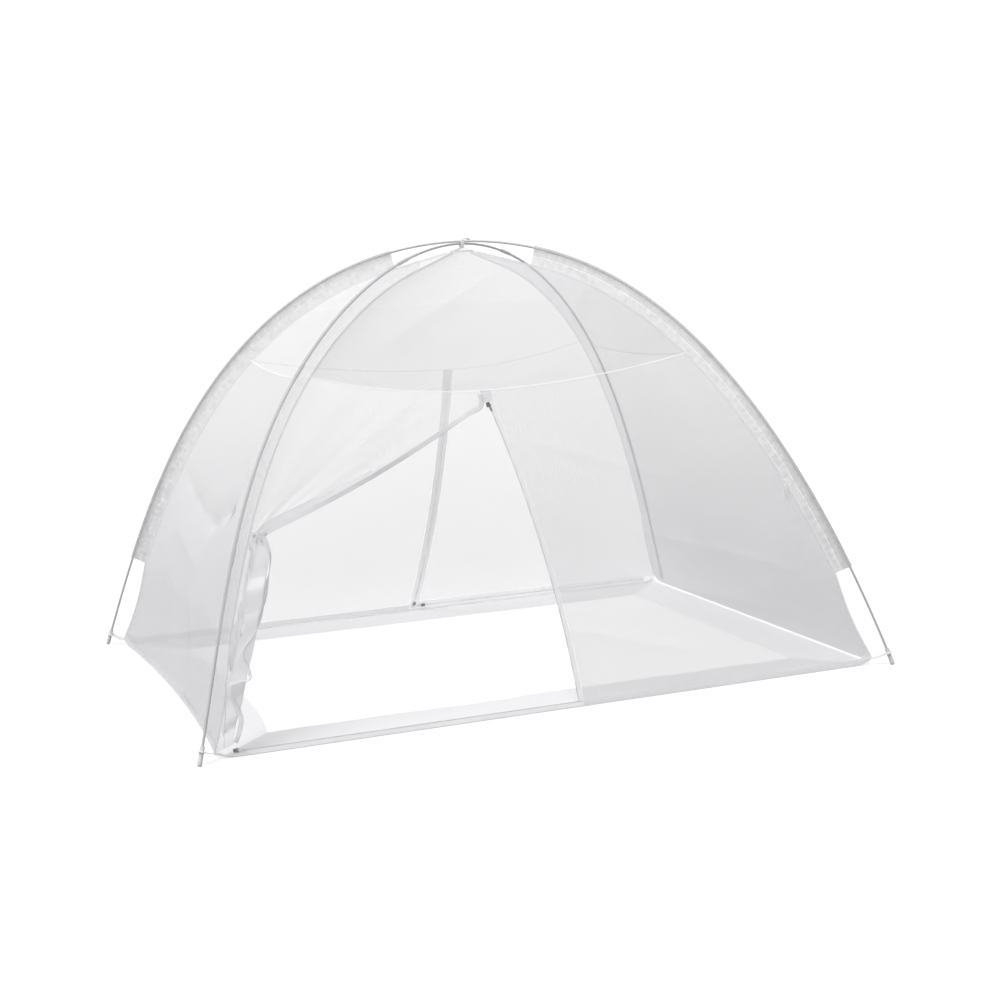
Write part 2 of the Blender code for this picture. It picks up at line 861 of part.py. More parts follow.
def flap_edges(door):
    ridge_edge_left = ridge_edge(-1, door)
    tie_distance = ridge_distance(tie_height)
    top_distance = ridge_distance(eave_height)
    tie_share = 1 - tie_distance / top_distance
    top = door.eave(door.top_x - tape_reach - flap_start_gap) - door.lean * 2 * seam_gap
    start = top - door.lean * (patch_height + flap_start_gap)
    beside_patch = tie_share / flap_rows_above_tie
    knot = ridge_edge_left(1 - tie_share) + Vector((flap_bunch_width, 0.004, 0))
    foot = ridge_edge_left(0) + Vector((flap_foot_reach, 0, tape_reach))
    belly = ridge_edge_left((1 - tie_share) * 0.55) + Vector((flap_bunch_width * 1.15, 0, 0))

    def sewn(v):
        return ridge_edge_left(1 - v)

    def free(v):
        if v < beside_patch:
            return top.lerp(start, v / beside_patch)
        if v < tie_share:
            t = (v - beside_patch) / (tie_share - beside_patch)
            sag = Vector((0, 0, -0.020)) * math.sin(math.pi * t)
            return start.lerp(knot, t) + sag
        t = (v - tie_share) / (1 - tie_share)
        return knot.lerp(belly, t).lerp(belly.lerp(foot, t), t)

    return sewn, free, tie_share


def flap_surface(door):
    sewn, free, tie_share = flap_edges(door)

    def gathered(v):
        if v < tie_share:
            return flap_cinch * (v / tie_share) ** 2
        below = (v - tie_share) / (1 - tie_share)
        return flap_cinch + (1 - flap_cinch) * math.sin(math.pi / 2 * min(1.0, below * 3))

    def eave_dip(u, v):
        # The upper edge hangs along the eave's own dip
        level = sewn(0).lerp(free(0), u)
        return (door.eave(level.x) - door.lean * 2 * seam_gap - level) * max(0.0, 1 - v / tie_share)

    def surface(u, v):
        point = sewn(v).lerp(free(v), u) + eave_dip(u, v)
        wave = math.sin(2 * math.pi * flap_folds * u) * math.sin(math.pi * u)
        return point + door.out * wave * flap_fold_depth * gathered(v)

    return surface


def flap_row(v, tie_share):
    # Spaces the rows so that one of them lies under the tie
    row = v * (flap_rows_above_tie + flap_rows_below_tie)
    if row <= flap_rows_above_tie:
        return row / flap_rows_above_tie * tie_share
    return tie_share + (row - flap_rows_above_tie) / flap_rows_below_tie * (1 - tie_share)


def build_flap(name, door):
    surface = flap_surface(door)
    tie_share = flap_edges(door)[2]
    rows = flap_rows_above_tie + flap_rows_below_tie

    def cloth_point(u, v):
        return surface(u, flap_row(v, tie_share))

    cloth(name, cloth_point, flap_folds * 8, rows, net_thickness, "net")


def build_flap_tape(name, door):
    # The flap's own half of the zip, hanging loose along its free edge
    sewn, free, tie_share = flap_edges(door)
    rows = flap_rows_above_tie + flap_rows_below_tie

    def strip(u, v):
        t = flap_row(v, tie_share)
        outward = (free(t) - sewn(t)).normalized()
        pinch = flap_cinch if abs(t - tie_share) < 1e-6 else 1.0
        width = tape_width * min(pinch, 0.2 + 5 * max(0.0, v - 1 / rows))
        return free(t) + outward * (seam_gap + net_thickness + width * u)

    cloth(name, strip, 1, rows, tape_thickness * 1.6, "zip_tape")


# Base bands


def build_band(name, first, second):
    # A flat skirt of net that lies on the floor, mitred at the corners
    corner = on_ridge(0, 1, 1)
    inner = Vector((corner.x - band_width, corner.y - band_width, 0))

    def outer_corner(sign):
        return Vector((sign[0] * corner.x, sign[1] * corner.y, 0))

    def inner_corner(sign):
        return Vector((sign[0] * inner.x, sign[1] * inner.y, 0))

    run = (outer_corner(second) - outer_corner(first)).normalized() * edge_gap
    mitre = corner_lift_zone / (outer_corner(second) - outer_corner(first)).length
    ends = [0.0, mitre * 0.5, mitre]
    stops = ends + [0.2, 0.35, 0.5, 0.65, 0.8] + [1 - end for end in reversed(ends)]

    def surface(u, v):
        t = stops[round(u * (len(stops) - 1))]
        outer = (outer_corner(first) + run).lerp(outer_corner(second) - run, t)
        inside = (inner_corner(first) + run).lerp(inner_corner(second) - run, t)
        point = outer.lerp(inside, v)
        away = min((point - outer_corner(first)).length, (point - outer_corner(second)).length)
        point.z = corner_rise(away)
        return point

    cloth(name, surface, len(stops) - 1, 3, net_thickness, "band", offset=1.0)


# Zip sliders


def slider_body(bm):
    # Two plates joined by a wedge, with lips that close on the tapes: one section, drawn tapering
    stations = [
        (-slider_length / 2, slider_tail_width),
        (-slider_length * 0.1, slider_tail_width),
        (slider_length * 0.28, slider_mouth_width),
        (slider_length / 2, slider_mouth_width * 0.92),
    ]
    slot = tape_thickness / 2 + slider_play
    rings = []
    for y, width in stations:
        half = width / 2
        inner = half - slider_lip
        quarter = [(slider_web / 2, slider_inside), (inner, slider_inside), (inner, slot)]
        quarter += [(half, slot), (half, slider_top)]
        right = [(x, -z) for x, z in quarter[::-1]] + quarter
        outline = right + [(-x, z) for x, z in reversed(right)]
        rings.append([bm.verts.new((x, y, z)) for x, z in outline])
    count = len(rings[0])
    for ring, following in zip(rings, rings[1:]):
        for index in range(count):
            after = (index + 1) % count
            bm.faces.new((ring[index], ring[after], following[after], following[index]))
    bm.faces.new(rings[0][::-1])
    bm.faces.new(rings[-1])


def bail(bm):
    # The bridge over the top plate that keeps the pull
    half, window = bail_span / 2, bail_span / 2 - bail_bar
    low = slider_top - slider_plate / 2
    high = slider_top + bail_height
    shoulder = bail_bar * 1.2
    outline = [(-half, low), (-half, high - shoulder), (-half + shoulder, high)]
    outline += [(half - shoulder, high), (half, high - shoulder), (half, low)]
    outline += [(window, low), (window, high - bail_bar), (-window, high - bail_bar), (-window, low)]
    points = [Vector((-bail_width / 2, y, z)) for y, z in outline]
    extrude_outline(bm, points, Vector((bail_width, 0, 0)))


def build_slider(name, frame):
    bm = bmesh.new()
    slider_body(bm)
    part = mesh_part(name, bm, "slider")
    bm = bmesh.new()
    bail(bm)
    bridge = cutter(f"{name}_bail", bm)
    bm = bmesh.new()
    inside = slider_inside - seam_gap / 10
    room = slider_tail_width / 2 - slider_lip - seam_gap / 3
    box(bm, (-room, -slider_length, -inside), (room, -slider_length * 0.1, inside))
    tail = cutter(f"{name}_tail", bm)
    boolean(part, tail, "DIFFERENCE")
    boolean(part, bridge, "UNION")
    for item in (part, bridge, tail):
        item.matrix_world = frame
    return part


def build_pull(name, frame):
    # A moulded tab whose end bar turns under the bail
    bar = pull_thickness / 2
    eye_end = bail_span / 2 + bail_bar
    window = (bail_width + 2 * slider_play + 2 * seam_gap) / 2
    half_eye, half_tip = pull_eye_width / 2, pull_width / 2
    outline = [(-half_eye, -bar), (half_eye, -bar), (half_eye, eye_end + bar)]
    outline += [(half_tip, eye_end + 5 * bar), (half_tip, pull_length - half_tip)]
    for step in range(1, 5):
        angle = math.pi * step / 5
        tip = pull_length - half_tip + half_tip * math.sin(angle)
        outline.append((half_tip * math.cos(angle), tip))
    outline += [(-half_tip, pull_length - half_tip), (-half_tip, eye_end + 5 * bar)]
    outline += [(-half_eye, eye_end + bar)]
    hole = [(-window, bar), (-window, eye_end), (window, eye_end), (window, bar)]
    curve = bpy.data.curves.new(name, "CURVE")
    curve.dimensions = "2D"
    curve.fill_mode = "BOTH"
    curve.extrude = pull_thickness / 2
    for ring_points in (outline, hole):
        spline = curve.splines.new("POLY")
        spline.points.add(len(ring_points) - 1)
        spline.use_cyclic_u = True
        for place, (x, y) in zip(spline.points, ring_points):
            place.co = (x, y, 0.0, 1.0)
    part = add_part(name, curve, "pull")
    part.matrix_world = frame
    print(name, "pivot", rounded(frame.translation), "axis", rounded(frame.col[0].to_3d()))
    return part


def build_sliders(prefix, door, closed):
    # Every slider's mouth and pull point to the corner where the two runs meet
    clear = slider_length / 2 + 2 * seam_gap
    far = -(door.hem_x - sill_end) + clear
    near = door.foot_x - tape_reach - clear - pull_room
    mirrored = Matrix.Diagonal((-1, 1, 1, 1))
    upright = door.place @ door.upright(door.run() - clear if closed else clear) @ mirrored
    sill = door.place @ door.sill(near if closed else far, 1)
    bail_pivot = Matrix.Translation((0, 0, slider_top + (bail_height - bail_bar) / 2))
    centre = door.place @ door.centre
    for run, frame in (("upright", upright), ("sill", sill)):
        slider = build_slider(f"{prefix}_{run}_slider", frame)
        pull = build_pull(f"{prefix}_{run}_pull", frame @ bail_pivot)
        hang(pull, slider, frame)
        if run == "upright":
            turning_point = pivot_empty(f"{prefix}_{run}_centre", centre)
            hang(slider, turning_point, Matrix.Translation(centre))
    angle = math.degrees((door.run() - 2 * clear) / door.radius)
    print(prefix, "upright centre", rounded(centre), "axis", rounded(door.place.to_3x3() @ door.axis))
    print(prefix, "upright turn", round(angle, 4), "sill travel", round(near - far, 5))


# Peak and ties


def build_peak():
    # A four-sided cap over the gores' points and the tape that ties it to the crossing
    peak = arch_height - peak_drop
    near = along(ridge, length_of(ridge) - peak_patch_reach)
    lift = net_thickness + 2 * seam_gap
    bm = bmesh.new()
    bmesh.ops.create_cone(bm, segments=4, radius1=1.0, radius2=0.0, depth=1.0, cap_ends=False)
    for vert in bm.verts:
        if vert.co.z > 0:
            vert.co = Vector((0, 0, peak + lift))
            continue
        angle = math.atan2(vert.co.y, vert.co.x) + math.pi / 4
        x = math.copysign(diagonal_x * near.x, math.cos(angle))
        y = math.copysign(diagonal_y * near.x, math.sin(angle))
        vert.co = Vector((x, y, near.z + lift))
    mesh = bpy.data.meshes.new("peak_patch")
    bm.to_mesh(mesh)
    bm.free()
    patch = add_part("peak_patch", mesh, "webbing")
    wall = patch.modifiers.new("thickness", "SOLIDIFY")
    wall.thickness = net_thickness
    wall.offset = 0.0
    build_apex_tie(peak + lift + net_thickness + seam_gap)


def build_apex_tie(low):
    # A flat loop round both poles, knotted on top, with two short ends
    slant = pole_radius / diagonal_x + apex_tape_width / 2 * diagonal_y / diagonal_x
    half = slant + 2 * seam_gap + tie_thickness
    top = arch_height + upper_rise + pole_radius + 2 * seam_gap + tie_thickness
    wall = tie_thickness
    outline = [(-half + wall, low), (half - wall, low), (half, low + wall), (half, top - wall)]
    outline += [(half - wall, top), (-half + wall, top), (-half, top - wall), (-half, low + wall)]
    start = -apex_tape_width / 2
    bm = bmesh.new()
    extrude_outline(bm, [Vector((start, y, z)) for y, z in outline], Vector((apex_tape_width, 0, 0)))
    loop = mesh_part("apex_tie", bm, "webbing")
    bm = bmesh.new()
    inner, floor = half - wall, low + wall
    box(bm, (-apex_tape_width, -inner, floor), (apex_tape_width, inner, top - wall))
    boolean(loop, cutter("apex_tie_room", bm), "DIFFERENCE")
    bm = bmesh.new()
    knot = apex_tape_width * 0.45
    box(bm, (-knot, -knot, top - wall / 2), (knot, knot, top + knot))
    boolean(loop, cutter("apex_tie_knot", bm), "UNION")
    for index, lean in enumerate((35, 62)):
        bm = bmesh.new()
        box(bm, (-wall / 2, -knot * 0.8, 0), (wall / 2, knot * 0.8, apex_tail))
        turn = Matrix.Rotation(math.radians(lean), 4, "Y")
        bmesh.ops.transform(bm, matrix=Matrix.Translation((0, 0, top)) @ turn, verts=bm.verts)
        boolean(loop, cutter(f"apex_tie_end_{index + 1}", bm), "UNION")


def build_flap_tie(door):
    # A tape from the sleeve's seam, round the bunched flap and back
    sewn, free, tie_share = flap_edges(door)
    seam, edge = sewn(tie_share), free(tie_share)
    depth = flap_fold_depth * flap_cinch + tie_thickness + net_thickness + seam_gap
    run = (edge - seam).normalized()
    reach = (edge - seam).length + tape_width + tie_width + tie_thickness
    half_path = [(0.04, depth * 0.5), (0.15, depth), (0.75, depth), (1.0, depth * 0.55)]
    path = half_path + [(share_out, -out) for share_out, out in reversed(half_path)]
    count = len(path) - 1

    def surface(u, v):
        share_out, out = path[round(u * count)]
        point = seam + run * reach * share_out + door.out * out
        return point + door.lean * tie_width * (v - 0.5)

    cloth("door_tie_left", surface, count, 1, tie_thickness, "webbing")


def build_spare_tie(door):
    # The matching tape on the front right seam hangs unused, knotted, in two ends
    seam = ridge_edge(1, door)(ridge_distance(tie_height) / ridge_distance(eave_height))
    knot = tie_width * 0.5
    start = seam + Vector((-tie_width, 0, 0)) + door.out * (net_thickness / 2 + knot + seam_gap * 4)
    bm = bmesh.new()
    box(bm, start - Vector((knot, knot, knot)), start + Vector((knot, knot, knot)))
    tie = mesh_part("door_tie_right", bm, "webbing")
    for index, spread in enumerate((-0.8, 0.8)):
        foot = start + Vector((spread * tie_width, 0, -tie_tail * (1 - 0.2 * index)))
        foot += door.out * tie_tail * 0.30
        across = Vector((tie_width * 0.3, 0, 0))
        shift = Vector((spread * tie_width * 0.1, tie_thickness / 2, 0))
        corners = [start + shift - across, start + shift + across, foot + shift + across]
        corners.append(foot + shift - across)
        bm = bmesh.new()
        extrude_outline(bm, corners, Vector((0, -tie_thickness, 0)))
        boolean(tie, cutter(f"door_tie_right_end_{index + 1}", bm), "UNION")


start_scene()
ridge = ridge_profile()
front_door = Door(False, top_x=-0.100, foot_x=0.030, side_bulge=0.020, out_bulge=0.020)
rear_door = Door(True, top_x=-0.090, foot_x=-0.030, side_bulge=-0.016, out_bulge=-0.012)

lower_route = build_pole("b", 0.0, -1)
upper_route = build_pole("a", upper_rise, 1)
build_foot("front_left", lower_route, True)
build_foot("rear_right", lower_route, False)
build_foot("front_right", upper_route, True)
build_foot("rear_left", upper_route, False)
for corner, side_x, side_y in (
    ("front_left", -1, -1),
    ("front_right", 1, -1),
    ("rear_left", -1, 1),
    ("rear_right", 1, 1),
):
    build_sleeve(corner, side_x, side_y)

build_roof()
build_end_wall("wall_net_left", -1)
build_end_wall("wall_net_right", 1)
build_fixed_panel("wall_net_front", front_door)
build_fixed_panel("wall_net_rear", rear_door)
build_closed_door("door_net_rear", rear_door)
build_flap("door_flap_front", front_door)
build_band("base_band_front", (-1, -1), (1, -1))
build_band("base_band_right", (1, -1), (1, 1))
build_band("base_band_rear", (1, 1), (-1, 1))
build_band("base_band_left", (-1, 1), (-1, -1))

build_zip_half("front_zip_fixed_half", front_door, on_door=False)
build_zip_half("rear_zip_fixed_half", rear_door, on_door=False)
build_zip_half("rear_zip_door_half", rear_door, on_door=True)
build_flap_tape("front_zip_flap_half", front_door)
build_patch("front_zip_patch", front_door)
build_patch("rear_zip_patch", rear_door)
build_sliders("front", front_door, closed=False)
build_sliders("rear", rear_door, closed=True)
build_peak()
build_flap_tie(front_door)
build_spare_tie(front_door)
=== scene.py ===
import math

import bpy
import numpy as np
from mathutils import Matrix, Vector


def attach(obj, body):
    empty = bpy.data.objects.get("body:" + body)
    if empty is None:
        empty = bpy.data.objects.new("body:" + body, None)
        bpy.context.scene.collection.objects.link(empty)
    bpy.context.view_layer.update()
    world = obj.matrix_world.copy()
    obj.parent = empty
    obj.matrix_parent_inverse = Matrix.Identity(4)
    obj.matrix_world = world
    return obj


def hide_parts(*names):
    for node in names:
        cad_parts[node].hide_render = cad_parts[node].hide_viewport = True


# Mosquito net tent: two crossing poles in seam sleeves, a floorless net and two zip doors.
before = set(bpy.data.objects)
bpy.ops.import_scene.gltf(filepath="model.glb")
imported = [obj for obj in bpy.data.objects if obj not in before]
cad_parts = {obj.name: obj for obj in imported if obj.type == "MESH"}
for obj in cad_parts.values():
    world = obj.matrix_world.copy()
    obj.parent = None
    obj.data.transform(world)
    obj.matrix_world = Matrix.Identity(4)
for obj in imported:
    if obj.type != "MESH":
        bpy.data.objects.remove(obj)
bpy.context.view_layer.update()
bpy.ops.object.select_all(action="DESELECT")
print("frame loaded")

body = "tent"

# nodes


def setInputs(tree, node, inputs):
    # A socket is linked, and anything else becomes the input's own constant
    for key, value in inputs.items():
        if isinstance(value, bpy.types.NodeSocket):
            tree.links.new(value, node.inputs[key])
        else:
            node.inputs[key].default_value = value


def addNode(tree, kind, inputs=None, **settings):
    node = tree.nodes.new(kind)
    for key, value in settings.items():
        setattr(node, key, value)
    setInputs(tree, node, inputs or {})
    return node


def calc(tree, operation, *values):
    return addNode(tree, "ShaderNodeMath", dict(enumerate(values)), operation=operation).outputs[0]


def startMaterial(name, inputs):
    material = bpy.data.materials.new(name)
    material.use_nodes = True
    tree = material.node_tree
    shader = tree.nodes["Principled BSDF"]
    setInputs(tree, shader, inputs)
    return material, tree, shader


# camera, floor and lights

cameraView = {
    "place": (-1.82094, -4.88475, 1.29550),
    "yaw": 0.374173,
    "pitch": 0.152412,
    "roll": -0.035814,
    "lens": 60.158,
    "sensor": 36.0,
    "reach": 100.0,
}


def addCamera():
    yaw, pitch, roll = (cameraView[key] for key in ("yaw", "pitch", "roll"))
    flat = math.cos(pitch)
    forward = Vector((math.sin(yaw) * flat, math.cos(yaw) * flat, -math.sin(pitch)))
    right = Vector((math.cos(yaw), -math.sin(yaw), 0))
    up = right.cross(forward)
    tiltedRight = right * math.cos(roll) + up * math.sin(roll)
    tiltedUp = up * math.cos(roll) - right * math.sin(roll)
    bpy.ops.object.camera_add()
    camera = bpy.context.object
    camera.data.lens = cameraView["lens"]
    camera.data.sensor_width = cameraView["sensor"]
    camera.data.clip_end = cameraView["reach"]
    turn = Matrix((tiltedRight, tiltedUp, -forward)).transposed().to_4x4()
    camera.matrix_world = Matrix.Translation(cameraView["place"]) @ turn
    bpy.context.scene.camera = camera


studio = {
    "floorSize": 60.0,
    "floorLevel": -0.0006,
    "floorColor": (0.36, 0.36, 0.36, 1),
    "floorLift": 0.74,
    "white": (1, 1, 1, 1),
    "worldLight": 0.48,
    "worldSeen": 1.16,
    "key": {"from": (-0.42, -0.22, 0.88), "softness": 38.0, "strength": 2.05},
    "netLayers": 48,
}


def addStudio():
    bpy.ops.mesh.primitive_plane_add(size=studio["floorSize"], location=(0, 0, studio["floorLevel"]))
    floor = bpy.context.object
    floor.name = "studioFloor"
    bpy.ops.object.transform_apply(location=True, scale=True)
    material, tree, shader = startMaterial("studioFloorPaint", {
        "Base Color": studio["floorColor"], "Roughness": 0.9, "Specular IOR Level": 0.1,
        "Emission Color": studio["white"],
    })
    # The camera sees a white floor, and the tent gets only its paint's own bounce
    seen = addNode(tree, "ShaderNodeLightPath").outputs["Is Camera Ray"]
    setInputs(tree, shader, {"Emission Strength": calc(tree, "MULTIPLY", seen, studio["floorLift"])})
    floor.data.materials.append(material)
    world = bpy.context.scene.world or bpy.data.worlds.new("studioWorld")
    bpy.context.scene.world = world
    world.use_nodes = True
    tree = world.node_tree
    tree.nodes.clear()
    choices = {0: addNode(tree, "ShaderNodeLightPath").outputs["Is Camera Ray"]}
    for index, key in ((1, "worldLight"), (2, "worldSeen")):
        glow = {"Color": studio["white"], "Strength": studio[key]}
        choices[index] = addNode(tree, "ShaderNodeBackground", glow).outputs[0]
    choose = addNode(tree, "ShaderNodeMixShader", choices)
    addNode(tree, "ShaderNodeOutputWorld", {"Surface": choose.outputs[0]})
    key = studio["key"]
    bpy.ops.object.light_add(type="SUN", location=(-3, -2, 5))
    light = bpy.context.object
    light.name = "keyLight"
    light.data.energy = key["strength"]
    light.data.angle = math.radians(key["softness"])
    light.rotation_euler = (-Vector(key["from"])).to_track_quat("-Z", "Y").to_euler()
    scene = bpy.context.scene
    scene.view_settings.view_transform = "Standard"
    scene.cycles.transparent_max_bounces = studio["netLayers"]


addCamera()
addStudio()
print("camera and studio made")

# materials: shared effects as node groups, then one table for each kind of cloth or paint


def newGroup(name, inputs, outputs):
    group = bpy.data.node_groups.new(name, "ShaderNodeTree")
    for label, value in inputs.items():
        socket = group.interface.new_socket(name=label, in_out="INPUT", socket_type="NodeSocketFloat")
        socket.default_value = value
    for label in outputs:
        group.interface.new_socket(name=label, in_out="OUTPUT", socket_type="NodeSocketFloat")
    return group, group.nodes.new("NodeGroupInput").outputs, group.nodes.new("NodeGroupOutput")


def clothSides(tree):
    # The cloth's own flat coordinates, in metres
    flat = addNode(tree, "ShaderNodeUVMap", uv_map="clothPlane").outputs[0]
    return addNode(tree, "ShaderNodeSeparateXYZ", {0: flat}).outputs[:2]


def objectPlace(tree):
    return addNode(tree, "ShaderNodeTexCoord").outputs["Object"]


def noiseOf(tree, size, detail):
    inputs = {"Vector": objectPlace(tree), "Scale": size, "Detail": detail}
    return addNode(tree, "ShaderNodeTexNoise", inputs).outputs[0]


def makeNetMesh():
    # Diamond cells of fine thread
    group, start, end = newGroup(
        "netMesh", {"Cells per metre": 480.0, "Thread": 0.72, "Gap": 0.2}, ("Cover", "Height")
    )
    x, y = (calc(group, "MULTIPLY", side, start["Cells per metre"]) for side in clothSides(group))
    slants = [calc(group, "PINGPONG", calc(group, way, x, y), 0.5) for way in ("ADD", "SUBTRACT")]
    near = calc(group, "MINIMUM", *slants)
    edges = {"Value": near, "From Min": 0.06, "From Max": 0.2, "To Min": 1.0, "To Max": 0.0}
    thread = addNode(group, "ShaderNodeMapRange", edges, interpolation_type="SMOOTHSTEP").outputs[0]
    span = calc(group, "SUBTRACT", start["Thread"], start["Gap"])
    cover = calc(group, "MULTIPLY_ADD", thread, span, start["Gap"])
    setInputs(group, end, {"Cover": cover, "Height": thread})
    return group


def makePlainWeave():
    # Over-and-under threads of a tape or lining cloth
    group, start, end = newGroup("plainWeave", {"Threads per metre": 1400.0}, ("Height", "Shade"))
    turn = calc(group, "MULTIPLY", start["Threads per metre"], math.pi)
    x, y = (calc(group, "SINE", calc(group, "MULTIPLY", side, turn)) for side in clothSides(group))
    height = calc(group, "MULTIPLY_ADD", calc(group, "MULTIPLY", x, y), 0.5, 0.5)
    setInputs(group, end, {"Height": height, "Shade": calc(group, "MULTIPLY_ADD", height, 0.12, 0.88)})
    return group


def makeSoftClouds():
    # Slow change over a surface, centred on one
    group, start, end = newGroup("softClouds", {"Size": 4.0, "Amount": 0.04}, ("Shade", "Mask"))
    mask = noiseOf(group, start["Size"], 3.0)
    spread = calc(group, "MULTIPLY", start["Amount"], 2.0)
    shade = calc(group, "MULTIPLY_ADD", calc(group, "SUBTRACT", mask, 0.5), spread, 1.0)
    setInputs(group, end, {"Shade": shade, "Mask": mask})
    return group


def makeHandledWear():
    # Fine scuffs and faint dirt for moulded and painted pieces
    group, start, end = newGroup("handledWear", {"Size": 220.0, "Amount": 0.5}, ("Scuff", "Grain"))
    fine, broad = noiseOf(group, start["Size"], 5.0), noiseOf(group, 24.0, 2.0)
    edges = {"Value": calc(group, "MULTIPLY", fine, broad), "From Min": 0.27, "From Max": 0.42}
    worn = addNode(group, "ShaderNodeMapRange", edges).outputs[0]
    setInputs(group, end, {"Scuff": calc(group, "MULTIPLY", worn, start["Amount"]), "Grain": fine})
    return group


netMesh = makeNetMesh()
plainWeave = makePlainWeave()
softClouds = makeSoftClouds()
handledWear = makeHandledWear()


def placeGroup(tree, group, values=None):
    return addNode(tree, "ShaderNodeGroup", values, node_tree=group).outputs


def mixColor(tree, factor, first, second):
    return addNode(tree, "ShaderNodeMix", {0: factor, 6: first, 7: second}, data_type="RGBA").outputs[2]


def bumpOf(tree, height, strength, distance):
    inputs = {"Height": height, "Strength": strength, "Distance": distance}
    return addNode(tree, "ShaderNodeBump", inputs).outputs[0]


def tint(level, green=-0.005, blue=0.01):
    return (level, level + green, level + blue, 1)


netLook = {
    "thread": 0.66,
    "gap": 0.22,
    "cells": 480.0,
    "glow": 0.06,
    # painted shade: the net is painted greyer, and its cover made thicker, towards the floor, where the lower
    # walls get less light
    "shadeBelow": 0.85,
    "shadeShare": 0.75,
    "shadeCover": 0.75,
    "shadeLoss": 0.5,
}


def netMaterial(name, pale, grey, **changes):
    look = dict(netLook, **changes)
    material, tree, shader = startMaterial(
        name, {"Roughness": 0.85, "Sheen Weight": 0.12, "Specular IOR Level": 0.25}
    )
    mesh = {"Cells per metre": look["cells"], "Thread": look["thread"], "Gap": look["gap"]}
    weave = placeGroup(tree, netMesh, mesh)
    clouds = placeGroup(tree, softClouds, {"Size": 3.5, "Amount": 0.05})
    # Painted shade: below a set height the colour is pulled to grey and the cover thickened, darkening the
    # lower net; the clouds add random grey tone
    height = addNode(tree, "ShaderNodeSeparateXYZ", {"Vector": objectPlace(tree)}).outputs["Z"]
    raised = calc(tree, "MINIMUM", calc(tree, "DIVIDE", height, look["shadeBelow"]), 1.0)
    low = calc(tree, "MULTIPLY", calc(tree, "SUBTRACT", 1.0, raised), look["shadeShare"])
    color = mixColor(tree, calc(tree, "MULTIPLY_ADD", clouds["Mask"], 0.25, low), pale, grey)
    cover = calc(tree, "MULTIPLY", weave["Cover"], clouds["Shade"])
    cover = calc(tree, "MULTIPLY", cover, calc(tree, "MULTIPLY_ADD", low, look["shadeCover"], 1.0))
    # Its threads scatter light onwards, so the net's shadow is lighter than its cover
    shadow = addNode(tree, "ShaderNodeLightPath").outputs["Is Shadow Ray"]
    passed = calc(tree, "MULTIPLY_ADD", shadow, -look["shadeLoss"], 1.0)
    setInputs(tree, shader, {
        "Base Color": color,
        "Alpha": calc(tree, "MULTIPLY", calc(tree, "MINIMUM", cover, 1.0), passed),
        # Painted light: an even glow in the net's own colour stands in for the light that passes through from
        # its far side
        "Emission Color": color,
        "Emission Strength": look["glow"],
        "Normal": bumpOf(tree, weave["Height"], 0.15, 0.0002),
    })
    return material


sleeveLook = {
    "pale": tint(0.82),
    "grey": tint(0.64),
    "thread": 0.74,
    "gap": 0.34,
    "crown": (0.46, 0.46, 0.47, 1),
    "crownWidth": 0.0036,
    "seam": (0.95, 0.95, 0.96, 1),
    "seamPaintedGlow": (0.9, 0.9, 0.9, 1),
    "seamAt": 0.036,
    "seamWidth": 0.0018,
    "skirt": 0.2,
    "strength": 0.5,
}


def sleeveMaterial(name, glow, cover=1.0, stitched=0.2):
    # A gathered net with the pole showing at its fold and a pale seam beside the pole; the cloth carries a
    # painted glow in its own colour, and the seam a brighter painted glow
    look = sleeveLook
    material = netMaterial(name, look["pale"], look["grey"], thread=look["thread"], gap=look["gap"])
    tree = material.node_tree
    shader = tree.nodes["Principled BSDF"]
    across = calc(tree, "ABSOLUTE", clothSides(tree)[0])
    crown = calc(tree, "LESS_THAN", across, look["crownWidth"])
    fromSeam = calc(tree, "ABSOLUTE", calc(tree, "SUBTRACT", across, look["seamAt"]))
    seam = calc(tree, "MULTIPLY", calc(tree, "LESS_THAN", fromSeam, look["seamWidth"] / 2), stitched)
    skirt = calc(tree, "GREATER_THAN", across, look["seamAt"])
    cloth, covered = (shader.inputs[key].links[0].from_socket for key in ("Base Color", "Alpha"))
    cloth = mixColor(tree, crown, cloth, look["crown"])
    dim = mixColor(tree, glow / look["strength"], (0, 0, 0, 1), cloth)
    gathers = placeGroup(tree, softClouds, {"Size": 60.0, "Amount": 0.5})
    share = calc(tree, "MULTIPLY", gathers["Shade"], cover)
    share = calc(tree, "MULTIPLY", share, calc(tree, "MULTIPLY_ADD", skirt, -look["skirt"], 1.0))
    share = calc(tree, "MULTIPLY_ADD", calc(tree, "MAXIMUM", crown, seam), 0.5, share)
    # Painted light: the emission is the cloth's colour scaled by its glow, and near white along the seam
    setInputs(tree, shader, {
        "Base Color": mixColor(tree, seam, cloth, look["seam"]),
        "Emission Color": mixColor(tree, seam, dim, look["seamPaintedGlow"]),
        "Emission Strength": look["strength"],
        "Alpha": calc(tree, "MULTIPLY", covered, share),
    })
    return material


def clothMaterial(name, pale, grey, threads, cover=1.0, glow=0.08, sheen=0.15):
    material, tree, shader = startMaterial(
        name, {"Roughness": 0.88, "Sheen Weight": sheen, "Specular IOR Level": 0.3}
    )
    weave = placeGroup(tree, plainWeave, {"Threads per metre": threads})
    clouds = placeGroup(tree, softClouds, {"Size": 9.0, "Amount": 0.08})
    between = tuple(level * 0.8 for level in grey[:3]) + (1,)
    shade = mixColor(tree, weave["Shade"], between, mixColor(tree, clouds["Mask"], pale, grey))
    setInputs(tree, shader, {
        "Base Color": shade, "Emission Color": shade, "Emission Strength": glow,
        "Normal": bumpOf(tree, weave["Height"], 0.35, 0.0003),
    })
    if cover < 1:
        setInputs(tree, shader, {"Alpha": calc(tree, "MULTIPLY", clouds["Shade"], cover)})
    return material


